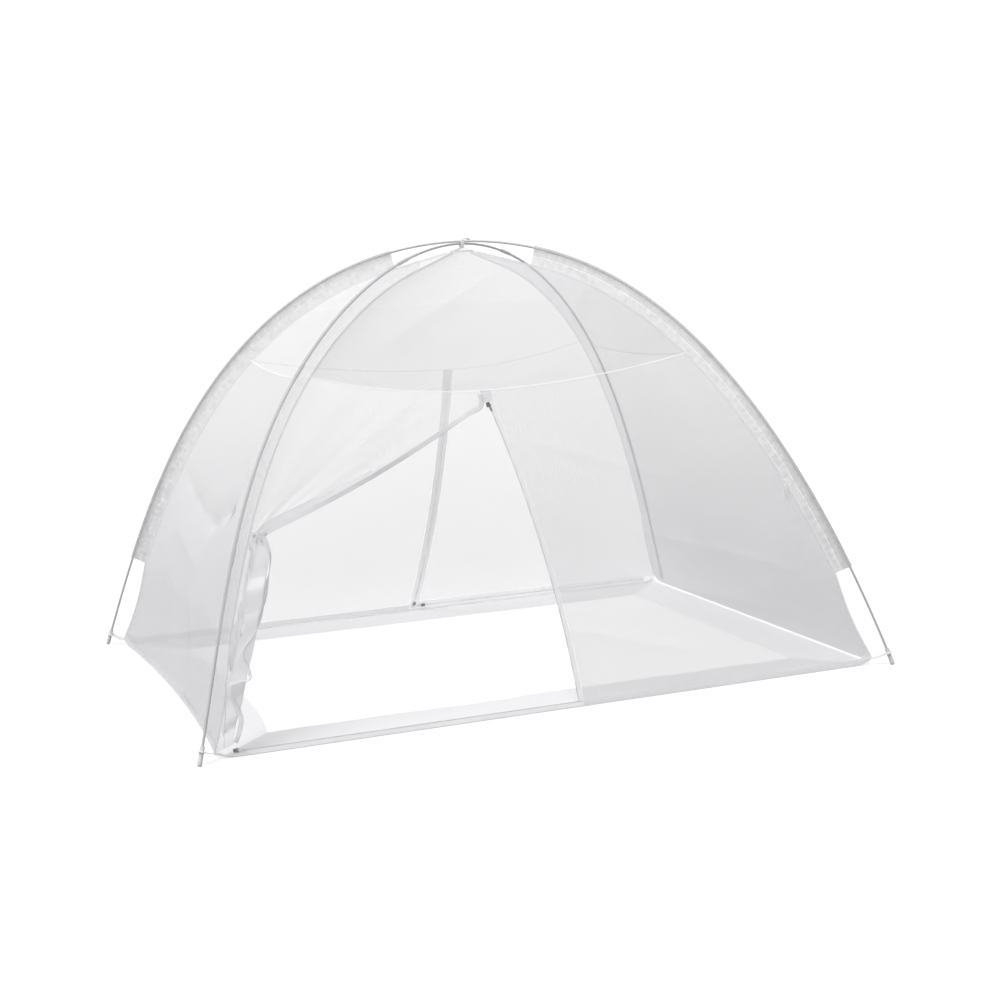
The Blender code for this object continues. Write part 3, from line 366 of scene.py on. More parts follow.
def mouldedMaterial(name, pale, scuffed, roughness, metallic=0.0, coat=0.0):
    material, tree, shader = startMaterial(
        name, {"Roughness": roughness, "Metallic": metallic, "Coat Weight": coat}
    )
    wear = placeGroup(tree, handledWear)
    setInputs(tree, shader, {
        "Base Color": mixColor(tree, wear["Scuff"], pale, scuffed),
        "Roughness": calc(tree, "MULTIPLY_ADD", wear["Scuff"], 0.25, roughness),
        "Normal": bumpOf(tree, wear["Grain"], 0.12, 0.0002),
    })
    return material


paleNet = tint(0.81, blue=0.015)
# Painted light and shade: copies of one net cloth; the rear net is thinner and glows more, the roof net is
# darker and denser, the side net is darker with more painted shade towards the floor, and the gathered flap
# net glows more
nets = {
    "knittedNet": {"pale": paleNet, "grey": tint(0.73, blue=0.015), "shadeCover": 0.3},
    "litRearNet": {"pale": paleNet, "grey": paleNet, "thread": 0.462, "gap": 0.154, "glow": 0.16},
    "roofNet": {"pale": tint(0.72, blue=0.015), "grey": paleNet, "thread": 0.7128, "gap": 0.2376},
    "shadedSideNet": {"pale": tint(0.75, blue=0.015), "grey": tint(0.56, blue=0.02), "shadeCover": 1.0},
    "gatheredNet": {
        "pale": tint(0.84), "grey": tint(0.74, blue=0.015),
        "thread": 0.62, "gap": 0.16, "glow": 0.2, "cells": 1400.0,
    },
}
sleeveNets = {
    # the painted glow that stands in for light let through, the cover's share and the seam's strength
    "leftSleeve": (0.06,),
    "rightSleeve": (0.06, 1.0, 0.5),
    # Painted light: the front and far sleeves are lit copies with a much stronger glow
    "frontSleeve": (0.36, 0.34),
    "farSleeve": (0.36, 0.12),
}
cloths = {
    # two tints, threads per metre, cover, the painted glow that stands in for light let through, and sheen
    # Painted light and shade: copies of band and tape cloth with their own tints and glows; the left and
    # right bands glow more under the net, the front band is darker with less glow where it lies in direct
    # light, and the tapes glow by different amounts to brighten them
    "bandCloth": (tint(0.93, blue=0.005), tint(0.87), 1500, 0.86, 0.24),
    "frontBand": (tint(0.86), tint(0.82), 1500, 0.9, 0.11),
    "rearBand": (tint(0.88, blue=0.005), tint(0.82), 1500, 0.86, 0.1),
    "seamTape": (tint(0.9, 0), tint(0.82, 0, 0.02), 1100),
    "edgeTape": (tint(0.8), tint(0.74), 1300, 0.4, 0.2),
    "paleEdge": (tint(0.95), tint(0.9), 1300, 0.42, 0.2),
    "footEdge": (tint(0.95), tint(0.9), 1300, 0.95, 0.6),
    "rearEdge": (tint(0.86), tint(0.8), 1300, 0.25, 0.3),
    "flapTape": (tint(0.8), tint(0.7), 1300, 0.6, 0.14),
    "zipTape": (tint(0.84), tint(0.74), 1300, 0.64, 0.24),
    "farTape": (tint(0.9), tint(0.8), 1300, 0.62, 0.28),
    "webbing": (tint(0.88, 0), tint(0.76, 0, 0.02), 650, 1.0, 0.08, 0.3),
    "cordCover": (tint(0.8, 0, 0), tint(0.7, 0, 0), 900),
}
mouldings = {
    # two tints, roughness, metallic and coat
    "polePaint": (tint(0.6, 0.005), tint(0.48, 0.005), 0.3, 0.0, 0.3),
    "socketPlastic": (tint(0.84, 0, 0), tint(0.7, 0, -0.01), 0.42),
    "coilNylon": (tint(0.5, 0), tint(0.38, 0), 0.45),
    "paleCoil": (tint(0.76, 0), tint(0.64, 0), 0.45),
    "darkSlider": (tint(0.22, 0, 0.005), tint(0.36, 0), 0.38, 0.6),
    "paleSlider": (tint(0.3, 0), tint(0.5, 0, 0.02), 0.36, 0.7),
    "darkPull": (tint(0.3, 0, 0.005), tint(0.42, 0), 0.5),
    "palePull": (tint(0.8, 0, 0), tint(0.66, 0, 0), 0.45),
}
paint = {name: netMaterial(name, **look) for name, look in nets.items()}
for make, table in ((sleeveMaterial, sleeveNets), (clothMaterial, cloths), (mouldedMaterial, mouldings)):
    paint.update({name: make(name, *look) for name, look in table.items()})
print("materials made")

# the tent's curves: two bent rods, and the net's corner seams that hang below them

tent = {
    "spanX": 2.100,
    "spanY": 1.510,
    "height": 1.298,
    "poleRadius": 0.0035,
    "ferruleRadius": 0.00496,
    "upperRise": 0.0074,
    "footRadius": 0.0065,
    "footLength": 0.052,
    "footSeat": 0.026,
    "sleeveWidth": 0.045,
    "sleeveFoot": 0.300,
    "sleeveTop": 0.230,
    "slack": 0.014,
    "cornerHeight": 0.018,
    "cornerZone": 0.050,
    "peakDrop": 0.012,
    "eave": 0.950,
    "longDip": 0.070,
    "longLow": 0.42,
    "shortDip": 0.020,
    "wallSag": 0.016,
    "roofSag": 0.008,
    "band": 0.180,
    "edgeGap": 0.0009,
    "clothThick": 0.0006,
    "skin": 0.0009,
    "frontBow": 0.038,
    "bowSkew": 1.5,
    "leftHemBow": 0.038,
}
halfSpan = math.hypot(tent["spanX"], tent["spanY"]) / 2
alongX = tent["spanX"] / 2 / halfSpan
alongY = tent["spanY"] / 2 / halfSpan
corners = {"front_left": (-1, -1), "front_right": (1, -1), "rear_left": (-1, 1), "rear_right": (1, 1)}


def titled(corner):
    return corner.title().replace("_", "")


def bentRod(reach, height):
    # Reach, height and length from the crown to the foot of a springy rod on two pinned feet
    turn = np.linspace(0.0, math.pi / 2, 601)
    steps = np.diff(turn)

    def summed(values):
        return np.concatenate([[0.0], np.cumsum((values[1:] + values[:-1]) / 2 * steps)])

    def bend(modulus):
        root = np.sqrt(1 - modulus * np.sin(turn) ** 2)
        across = (1 - 2 * modulus * np.sin(turn) ** 2) / root
        return summed(across), 2 * math.sqrt(modulus) * np.cos(turn), summed(1 / root)

    low, high = 0.02, 0.75
    for _ in range(50):
        modulus = (low + high) / 2
        out, up, run = bend(modulus)
        if up[0] / out[-1] < height / reach:
            low = modulus
        else:
            high = modulus
    scale = height / up[0]
    return out * scale, up * scale + tent["footRadius"], run * scale


def unit(vectors):
    return vectors / np.maximum(np.linalg.norm(vectors, axis=-1, keepdims=True), 1e-12)


def runOf(points):
    steps = np.linalg.norm(np.diff(points, axis=0), axis=1)
    return np.concatenate([[0.0], np.cumsum(steps)])


def pointAt(points, run, distance):
    return np.stack([np.interp(distance, run, points[:, axis]) for axis in range(3)], axis=-1)


def bowAt(height):
    # The open door lets both front arches bow sideways
    share = np.clip(np.asarray(height) / tent["height"], 0.0, 1.0)
    return -tent["frontBow"] * np.sin(math.pi * share ** tent["bowSkew"])


def poleLine(lift, side, count=561):
    # From the rear foot over the crown to the front foot, equally far apart
    out, up, run = bentRod(halfSpan, tent["height"] + lift - tent["footRadius"])
    distance = np.linspace(-run[-1], run[-1], count)
    reach = np.sign(distance) * np.interp(abs(distance), run, out)
    height = np.interp(abs(distance), run, up)
    bow = np.where(distance > 0, bowAt(height), 0.0)
    return np.stack([side * alongX * reach + bow, -alongY * reach, height], axis=1)


def cornerSeam():
    # Reach, bow and height of the net's corner seam, from the floor to the peak
    out, up, run = bentRod(halfSpan, tent["height"] - tent["footRadius"])
    slope = np.arctan2(-np.gradient(up, run), np.gradient(out, run))
    sleeveStart = float(np.interp(-tent["sleeveFoot"], -up, run))
    below = np.clip((run[-1] - run) / (run[-1] - sleeveStart), 0.0, 1.0)
    inset = tent["sleeveWidth"] + tent["slack"] * np.sin(math.pi * below)
    seamOut = out - np.sin(slope) * inset
    seamUp = up - np.cos(slope) * inset
    kept = (seamOut > tent["sleeveTop"]) & (seamUp > tent["cornerHeight"])
    foot = float(np.interp(-tent["cornerHeight"], -seamUp, seamOut))
    bow = bowAt(up)
    cornerBow = np.interp(-tent["cornerHeight"], -seamUp, bow)
    bow -= cornerBow * np.clip(1 - (seamUp - tent["cornerHeight"]) / tent["sleeveFoot"], 0.0, 1.0) ** 2
    first = (foot, 0.0, tent["cornerHeight"])
    last = (0.0, 0.0, tent["height"] - tent["peakDrop"])
    line = np.vstack([first, np.stack([seamOut, bow, seamUp], axis=1)[kept][::-4], last])
    return line, runOf(line)


seamLine, seamRun = cornerSeam()
seamLength = seamRun[-1]


def seamDistance(height):
    return float(np.interp(height, seamLine[:, 2], seamRun))


def onSeam(distance, sideX, sideY, bowed=True):
    # Only the front seams bow, and the rear door is drawn at the front without it
    flat = pointAt(seamLine, seamRun, np.asarray(distance, float))
    reach, height = flat[..., 0], flat[..., 2]
    bow = flat[..., 1] if bowed and sideY < 0 else 0.0
    return np.stack([sideX * alongX * reach + bow, sideY * alongY * reach, height], axis=-1)


eaveRun = seamDistance(tent["eave"])
cornerX, cornerY = onSeam(0.0, 1, 1)[:2]


def lerp(first, second, t):
    t = np.asarray(t, float)[..., None]
    return np.asarray(first) * (1 - t) + np.asarray(second) * t


def dipped(start, end, lowShare, depth, t):
    point = lerp(start, end, t)
    t = np.asarray(t, float)
    side = np.where(t < lowShare, t / lowShare, (1 - t) / (1 - lowShare))
    point[..., 2] -= depth * (1 - (1 - side) ** 2)
    return point


def hemBow(side, t):
    # The left side's hem has slid inwards between its two corners
    if side != "left":
        return 0.0
    return tent["leftHemBow"] * np.clip(np.sin(math.pi * np.asarray(t)), 0, 1) ** 0.6


def cornerRise(distance):
    left = np.maximum(0.0, 1 - np.asarray(distance) / tent["cornerZone"])
    return (tent["cornerHeight"] - tent["clothThick"]) * left**1.5


def coonsGrid(left, right, bottom, top, sag, inward, columns, rows):
    # A surface between four edges, each a function of 0 to 1, with a soft inward belly
    u, v = np.meshgrid(np.linspace(0, 1, columns + 1), np.linspace(0, 1, rows + 1))
    across, along = u[..., None], v[..., None]
    ruledU = across * right(v) + (1 - across) * left(v)
    ruledV = along * top(u) + (1 - along) * bottom(u)
    low, high = (lerp(edge(0.0), edge(1.0), u) for edge in (bottom, top))
    belly = sag * np.sin(math.pi * across) * np.sin(math.pi * along)
    return ruledU + ruledV - (low * (1 - along) + high * along) + belly * np.array(inward)


def meeting(edge, bottom, corner):
    # The same side edge, eased so that it starts at the bottom edge's corner
    return lambda t: edge(t) + lerp(bottom(corner) - edge(0.0), (0, 0, 0), t)


# cloth: a sheet is a grid of points that keeps its flat size, then gets its folds


def softNoise(x, y, seed):
    cells = np.random.default_rng(seed).uniform(-1, 1, (64, 64))
    i, j = np.floor(x).astype(int), np.floor(y).astype(int)
    a, b = x - i, y - j
    a, b = a * a * (3 - 2 * a), b * b * (3 - 2 * b)
    low = cells[i % 64, j % 64] * (1 - a) + cells[(i + 1) % 64, j % 64] * a
    high = cells[i % 64, (j + 1) % 64] * (1 - a) + cells[(i + 1) % 64, (j + 1) % 64] * a
    return low * (1 - b) + high * b


def flatSize(points):
    # Distances along the rows and the columns, and the sheet's flat area
    across = np.linalg.norm(np.diff(points, axis=1), axis=2)
    along = np.linalg.norm(np.diff(points, axis=0), axis=2)
    u = np.concatenate([np.zeros((len(points), 1)), np.cumsum(across, axis=1)], axis=1)
    v = np.concatenate([np.zeros((1, points.shape[1])), np.cumsum(along, axis=0)], axis=0)
    first = points[1:, 1:] - points[:-1, :-1]
    second = points[1:, :-1] - points[:-1, 1:]
    area = float(np.linalg.norm(np.cross(first, second), axis=2).sum() / 2)
    return u, v, area


def outwardNormals(points, away):
    normal = unit(np.cross(np.gradient(points, axis=1), np.gradient(points, axis=0)))
    return -normal if (normal.mean(axis=(0, 1)) * np.array(away)).sum() < 0 else normal


def smoothStep(x):
    x = np.clip(x, 0, 1)
    return x * x * (3 - 2 * x)


def seamPuckers(distance, along, depth, reach, wave, seed):
    # Small gathers that run away from a sewn edge and die out
    warp = softNoise(along / 0.11, along * 0 + 0.5, seed) * 1.7
    size = 0.55 + 0.45 * softNoise(along / 0.16, along * 0 + 3.5, seed + 1)
    fade = np.exp(-distance / reach) * smoothStep(distance / 0.012)
    return depth * fade * size * np.sin(2 * math.pi * along / wave + warp * 3 + distance / reach * 0.6)


def crease(u, v, start, end, depth, width):
    # A soft fold line between two places of the flat cloth
    axis = np.array(end, float) - np.array(start, float)
    length = np.linalg.norm(axis)
    axis = axis / length
    du, dv = u - start[0], v - start[1]
    along = (du * axis[0] + dv * axis[1]) / length
    across = abs(dv * axis[0] - du * axis[1])
    taper = smoothStep(along / 0.25) * smoothStep((1 - along) / 0.25)
    return depth * taper * np.exp(-((across / width) ** 1.3))


def reliefOf(points, folds):
    u, v, _ = flatSize(points)
    width, height = u[:, -1:], v[-1:, :]
    edges = {"left": (u, v), "right": (width - u, v), "bottom": (v, u), "top": (height - v, u)}
    relief = np.zeros(u.shape)
    for index, (name, (distance, along)) in enumerate(edges.items()):
        depth, reach, wave = folds["puckers"].get(name, folds["puckers"]["all"])
        relief += seamPuckers(distance, along, depth, reach, wave, folds["seed"] + index * 7)
    for index, (size, depth) in enumerate(folds["swell"]):
        relief += depth * softNoise(u / size + 0.3, v / size + 0.7, folds["seed"] + 40 + index)
    for line in folds["creases"]:
        relief += crease(u, v, *line)
    nearest = np.minimum(np.minimum(u, width - u), np.minimum(v, height - v))
    return relief * smoothStep(nearest / 0.03)


def named(name):
    # The piece just made, under its own name
    piece = bpy.context.object
    piece.name = piece.data.name = name
    return piece


def placesOf(piece):
    places = np.zeros(len(piece.data.vertices) * 3)
    piece.data.vertices.foreach_get("co", places)
    return places.reshape(-1, 3)


def movePlaces(piece, places):
    piece.data.vertices.foreach_set("co", places.astype(np.float32).ravel())
    piece.data.update()


def writePlane(piece, flat):
    # Flat cloth coordinates in metres, given for each vertex
    layer = piece.data.uv_layers[0] if piece.data.uv_layers else piece.data.uv_layers.new()
    layer.name = "clothPlane"
    corner = np.zeros(len(piece.data.loops), int)
    piece.data.loops.foreach_get("vertex_index", corner)
    layer.data.foreach_set("uv", flat[corner].astype(np.float32).ravel())


def finishPiece(piece, cloth, node=None, rideOn=body):
    piece.data.materials.clear()
    piece.data.materials.append(paint[cloth])
    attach(piece, rideOn)
    bpy.ops.object.select_all(action="DESELECT")
    if node:
        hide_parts(node)


def addSheet(name, points, plane, cloth, node):
    # The grid primitive gives the faces, and the points give each corner its place
    rows, columns = points.shape[0] - 1, points.shape[1] - 1
    bpy.ops.mesh.primitive_grid_add(x_subdivisions=columns, y_subdivisions=rows, size=1.0)
    sheet = named(name)
    place = placesOf(sheet)
    column = np.rint((place[:, 0] + 0.5) * columns).astype(int)
    row = np.rint((place[:, 1] + 0.5) * rows).astype(int)
    movePlaces(sheet, points[row, column])
    writePlane(sheet, plane[row, column])
    bpy.ops.object.shade_smooth()
    finishPiece(sheet, cloth, node)
    return sheet


def facingOut(points, plane, away):
    # A sheet whose first face looks outwards
    normal = np.cross(points[:, 1:][:-1] - points[:, :-1][:-1], points[1:, :-1] - points[:-1, :-1])
    if (unit(normal).mean(axis=(0, 1)) * np.array(away)).sum() < 0:
        return points[:, ::-1], plane[:, ::-1]
    return points, plane


cell = 0.0085


def hangNet(name, makeBase, away, folds, cloth):
    # makeBase gives the panel's surface for a number of columns and rows
    u, v, _ = flatSize(makeBase(40, 40))
    base = makeBase(int(u[:, -1].max() / cell), int(v[-1].max() / cell))
    u, v, area = flatSize(base)
    points = base + outwardNormals(base, away) * reliefOf(base, folds)[..., None]
    points, plane = facingOut(points, np.stack([u, v], axis=-1), away)
    kind, side = name.split("Net")
    sheet = addSheet(name, points, plane, cloth, f"{kind}_net_{side.lower()}")


# roof: four gores between the seams, from the dipped eave up to the peak patch

roof = {
    "top": seamLength - 0.021,
    "sides": {
        "front": ((-1, -1), (1, -1), (0, 1, 0)),
        "rear": ((1, 1), (-1, 1), (0, -1, 0)),
        "left": ((-1, 1), (-1, -1), (1, 0, 0)),
        "right": ((1, -1), (1, 1), (-1, 0, 0)),
    },
    # The front and right gores take the darker roof net, painted shade, and the rear gore the glowing rear
    # net, painted light
    "cloths": {"front": "roofNet", "rear": "litRearNet", "left": "knittedNet", "right": "roofNet"},
    "folds": {
        "puckers": {"all": (0.0016, 0.045, 0.034), "bottom": (0.0011, 0.03, 0.028), "top": (0.0, 0.02, 0.05)},
        "swell": ((0.30, 0.0032), (0.12, 0.0012), (0.05, 0.0003)),
    },
    "creases": {
        "front": [((0.12, 0.10), (0.30, 0.55), 0.006, 0.05), ((0.7, 0.15), (0.62, 0.5), 0.003, 0.03)],
        "left": [((0.5, 0.1), (0.42, 0.45), 0.003, 0.03)],
        "rear": [((0.4, 0.1), (0.5, 0.5), 0.003, 0.03)],
        "right": [((0.3, 0.1), (0.38, 0.4), 0.003, 0.03)],
    },
}


def roofBase(name, columns, rows):
    first, second, inward = roof["sides"][name]
    shift = unit(onSeam(eaveRun, *second) - onSeam(eaveRun, *first)) * tent["edgeGap"]
    dip = (tent["longLow"], tent["longDip"]) if name in ("front", "rear") else (0.5, tent["shortDip"])

    def left(t):
        return onSeam(eaveRun + (roof["top"] - eaveRun) * t, *first) + shift

    def right(t):
        return onSeam(eaveRun + (roof["top"] - eaveRun) * t, *second) - shift

    def bottom(t):
        return dipped(left(0.0), right(0.0), *dip, t)

    def top(t):
        return lerp(left(1.0), right(1.0), t)

    return coonsGrid(left, right, bottom, top, tent["roofSag"], inward, columns, rows)


def makeRoof():
    for index, (name, (_, _, inward)) in enumerate(roof["sides"].items()):
        folds = dict(roof["folds"], seed=11 + index * 31, creases=roof["creases"][name])
        hangNet(
            f"roofNet{name.title()}", lambda columns, rows: roofBase(name, columns, rows),
            (-inward[0], -inward[1], 0.8), folds, roof["cloths"][name],
        )


# end walls

endWall = {
    "folds": {
        "puckers": {"all": (0.0018, 0.05, 0.036), "bottom": (0.0022, 0.05, 0.04), "top": (0.001, 0.03, 0.03)},
        "swell": ((0.34, 0.004), (0.14, 0.0016), (0.05, 0.0004)),
    },
    "creases": {
        "left": [
            ((0.00, 0.65), (0.34, 0.53), -0.012, 0.038),
            ((0.20, 0.56), (0.64, 0.50), -0.013, 0.040),
            ((0.48, 0.49), (0.76, 0.60), -0.013, 0.040),
            ((0.68, 0.52), (0.76, 0.74), -0.011, 0.034),
            ((0.10, 0.47), (0.62, 0.36), 0.008, 0.040),
            ((0.55, 0.30), (0.80, 0.10), 0.004, 0.03),
            ((1.0, 0.3), (1.25, 0.12), 0.004, 0.03),
        ],
        "right": [((0.3, 0.2), (0.8, 0.5), 0.003, 0.03), ((0.6, 0.1), (1.1, 0.35), 0.003, 0.03)],
    },
}


def wallBase(sideX, columns, rows):
    def seamOf(sideY):
        inset = np.array([0, tent["edgeGap"] * sideY, 0])
        return lambda t: onSeam(eaveRun * np.asarray(t), sideX, sideY) - inset

    near, far = seamOf(-sideX), seamOf(sideX)

    def bottom(t):
        point = lerp(near(0.0), far(0.0), t)
        point[..., 2] = tent["skin"] + cornerRise(cornerY - abs(point[..., 1]))
        point[..., 0] += hemBow("left" if sideX < 0 else "right", t)
        return point

    def top(t):
        return dipped(near(1.0), far(1.0), 0.5, tent["shortDip"], t)

    sides = meeting(near, bottom, 0.0), meeting(far, bottom, 1.0)
    return coonsGrid(*sides, bottom, top, tent["wallSag"], (-sideX, 0, 0), columns, rows)


def makeEndWalls():
    for index, (name, sideX) in enumerate((("left", -1), ("right", 1))):
        folds = dict(endWall["folds"], seed=201 + index * 31, creases=endWall["creases"][name])
        hangNet(
            f"wallNet{name.title()}", lambda columns, rows: wallBase(sideX, columns, rows),
            (sideX, 0, 0.3), folds, "shadedSideNet",
        )


# doors: worked out for the front, and turned half round for the rear

zipSize = {
    "tape": 0.014,
    "coil": 0.0022,
    "split": 0.0006,
    "tapeThick": 0.0006,
    "patch": 0.035,
    "step": 0.008,
    # the floor run's distance from the net's corner, and each run's reach past the zip's corner
    "farEnd": 0.050,
    "turnIn": 0.0084,
}
chainHalf = zipSize["split"] + zipSize["coil"]
tapeReach = chainHalf + zipSize["tape"]


class DoorLines:
    def __init__(self, turned, topX, footX, sideBulge, outBulge):
        self.turned = turned
        start, end = (onSeam(eaveRun, side, -1, not turned) for side in (-1, 1))
        gap = tent["edgeGap"]
        self.eaveLeft = start + np.array([gap, 0, -0.0003])
        self.eaveRight = end + np.array([-gap, 0, -0.0003])
        self.hemY = -cornerY
        self.lean = unit(np.array([0, start[1] - self.hemY, tent["eave"] - tent["longDip"]]))
        self.out = np.array([0, -self.lean[2], self.lean[1]])
        self.sillLine = np.array([0, self.hemY, tent["skin"]]) + self.lean * tapeReach
        self.topX, self.footX = topX, footX
        # The upright zip is an arc through three places
        low = self.sillLine + np.array([footX, 0, 0]) + self.lean * (chainHalf + 0.0003)
        self.high = self.eave(topX) - self.lean * (zipSize["patch"] + 0.0006)
        middle = (low + self.high) / 2 + np.array([sideBulge, 0, 0]) + self.out * outBulge
        a, b = middle - self.high, low - self.high
        normal = np.cross(a, b)
        toCentre = np.cross(normal, a) * (b @ b) + np.cross(b, normal) * (a @ a)
        self.centre = self.high + toCentre / (2 * normal @ normal)
        self.axis = unit(normal)
        self.radius = float(np.linalg.norm(self.high - self.centre))
        spokes = unit(self.high - self.centre), unit(low - self.centre)
        self.run = self.radius * math.acos(float(spokes[0] @ spokes[1]))
        down = np.cross(self.axis, spokes[0])
        across = unit(np.cross(self.out, down))
        self.across = across * (1 if across[0] > 0 else -1)
        zipOut = np.cross(down, self.across)
        self.zipOut = zipOut * (1 if zipOut @ self.out > 0 else -1)

    def eave(self, x):
        t = (np.asarray(x, float) - self.eaveLeft[0]) / (self.eaveRight[0] - self.eaveLeft[0])
        return dipped(self.eaveLeft, self.eaveRight, tent["longLow"], tent["longDip"], t)

    def turnBy(self, vector, distance):
        # Rodrigues' turn about the zip's own arc
        angle = np.asarray(distance, float)[..., None] / self.radius
        dot = (self.axis * vector).sum()
        across = np.cross(self.axis, vector)
        return vector * np.cos(angle) + across * np.sin(angle) + self.axis * dot * (1 - np.cos(angle))

    def upright(self, distance):
        # Place, across and outward at distances down the upright zip
        place = self.centre + self.turnBy(self.high - self.centre, distance)
        return place, self.turnBy(self.across, distance), self.turnBy(self.zipOut, distance)

    def turn(self, points):
        return points * np.array([-1, -1, 1]) if self.turned else points


doors = {
    "front": DoorLines(False, -0.100, 0.030, 0.020, 0.020),
    "rear": DoorLines(True, -0.090, -0.030, -0.016, -0.012),
}
topPucker = (0.001, 0.03, 0.028)
longWall = {
    "wallNetFront": {
        "puckers": {"all": (0.0016, 0.045, 0.034), "bottom": (0.0014, 0.03, 0.03), "top": topPucker},
        "swell": ((0.36, 0.0035), (0.13, 0.0014), (0.05, 0.0004)),
        "creases": [
            ((0.05, 0.30), (0.60, 0.52), 0.0035, 0.02),
            ((0.10, 0.16), (0.75, 0.40), 0.003, 0.02),
            ((0.25, 0.62), (0.70, 0.80), 0.003, 0.02),
            ((0.5, 0.1), (0.95, 0.24), 0.003, 0.018),
        ],
        "seed": 301,
    },
    "wallNetRear": {
        "puckers": {"all": (0.0016, 0.045, 0.034), "bottom": (0.0018, 0.04, 0.03), "top": topPucker},
        "swell": ((0.36, 0.0035), (0.13, 0.0014), (0.05, 0.0004)),
        "creases": [((0.2, 0.2), (0.7, 0.45), 0.003, 0.02)],
        "seed": 341,
    },
    "doorNetRear": {
        "puckers": {"all": (0.0018, 0.05, 0.034), "bottom": (0.0018, 0.04, 0.03), "top": topPucker},
        "swell": ((0.30, 0.0035), (0.12, 0.0016), (0.05, 0.0004)),
        "creases": [((0.3, 0.2), (0.5, 0.7), 0.003, 0.02)],
        "seed": 381,
    },
}


def zipSide(door, side, toFloor):
    # The net's edge beside the upright zip, from the bottom to the eave
    clear = tapeReach + tent["edgeGap"]
    reach = side * clear
    place, across, _ = door.upright(np.linspace(door.run - tapeReach * (1 if toFloor else 2), 0, 80))
    beside = place + across * reach
    if toFloor:
        foot = np.array([max(door.footX + reach, beside[0, 0]), door.hemY, tent["skin"]])
    else:
        line = door.sillLine + door.lean * clear
        foot = np.array([beside[0, 0], line[1], line[2]])
    points = np.vstack([foot, beside, door.eave(door.topX + reach)])
    run = runOf(points)
    return lambda t: pointAt(points, run, np.asarray(t, float) * run[-1])


def ridgeSide(sideX, door):
    shift = np.array([-sideX * tent["edgeGap"], 0, 0])
    return lambda t: onSeam(eaveRun * np.asarray(t, float), sideX, -1, not door.turned) + shift


def longPanelBase(door, closing, columns, rows):
    side = -1 if closing else 1
    zipEdge, ridge = zipSide(door, side, not closing), ridgeSide(side, door)

    def bottom(t):
        point = lerp(ridge(0.0), zipEdge(0.0), t)
        if closing:
            near = smoothStep(np.asarray(t) * 14)[..., None]
            point[..., 1:] = ridge(0.0)[1:] * (1 - near) + zipEdge(0.0)[1:] * near
        else:
            point[..., 1] = door.hemY
            point[..., 2] = tent["skin"] + cornerRise(cornerX - abs(point[..., 0]))
        return point

    def top(t):
        return door.eave(ridge(1.0)[0] + (zipEdge(1.0)[0] - ridge(1.0)[0]) * np.asarray(t, float))

    sides = meeting(ridge, bottom, 0.0), meeting(zipEdge, bottom, 1.0)
    return door.turn(coonsGrid(*sides, bottom, top, tent["wallSag"], (0, 1, 0), columns, rows))


def makeLongWalls():
    for name, folds in longWall.items():
        door = doors["front" if name == "wallNetFront" else "rear"]
        closing = name == "doorNetRear"
        hangNet(
            name, lambda columns, rows: longPanelBase(door, closing, columns, rows),
            (0, 1 if door.turned else -1, 0.3), folds, "litRearNet" if door.turned else "knittedNet",
        )


makeRoof()
makeEndWalls()
makeLongWalls()
print("net panels made")

# the open flap: a smooth triangle above its tie, a rolled edge, and pleats that hang below

flap = {
    "tieHeight": 0.560,
    "bunchWidth": 0.042,
    "layers": 16,
    "perLayer": 5,
    "plainColumns": 44,
    "rowsAbove": 62,
    "rowsBelow": 78,
    "topWidth": 0.47,
    "footWidth": 0.96,
    "height": 0.90,
    "weaveHeight": 0.96,
    "cutShare": 0.94,
    "rollShare": 13.0,
    "rollThick": 0.012,
    "pleatThick": 0.020,
    "sag": 0.020,
    "footReach": 0.030,
    "startGap": 0.004,
    "besidePatch": 0.10,
    "spread": 0.024,
    "facets": 0.018,
    "floorGap": 0.006,
    # the pleats' width from the tie down to the foot
    "hang": (0.0, 0.12, 0.45, 0.75, 1.0),
    "pleats": (0.030, 0.044, 0.056, 0.050, 0.022),
}


def flapLines(door):
    ridge = ridgeSide(-1, door)
    tieShare = 1 - seamDistance(flap["tieHeight"]) / eaveRun
    besidePatch = tieShare * flap["besidePatch"]
    top = door.eave(door.topX - tapeReach - flap["startGap"]) - door.lean * tent["clothThick"]
    start = top - door.lean * (zipSize["patch"] + flap["startGap"])
    knot = ridge(1 - tieShare) + np.array([flap["bunchWidth"], 0.004, 0])
    foot = ridge(0.0) + np.array([flap["footReach"], 0, tapeReach])
    belly = ridge((1 - tieShare) * 0.55) + np.array([flap["bunchWidth"] * 1.15, 0, 0])

    def free(v):
        v = np.asarray(v, float)
        beside = lerp(top, start, np.clip(v / besidePatch, 0, 1))
        t = np.clip((v - besidePatch) / (tieShare - besidePatch), 0, 1)
        above = lerp(start, knot, t)
        above[..., 2] -= flap["sag"] * np.sin(math.pi * t)
        above = np.where((v < besidePatch)[..., None], beside, above)
        t = np.clip((v - tieShare) / (1 - tieShare), 0, 1)
        below = lerp(knot, belly, t) * (1 - t[..., None]) + lerp(belly, foot, t) * t[..., None]
        below[..., 0] += flap["spread"] * smoothStep(t * 9) * (1 - 0.4 * t)
        return np.where((v < tieShare)[..., None], above, below)

    return lambda v: ridge(1 - np.asarray(v, float)), free, tieShare


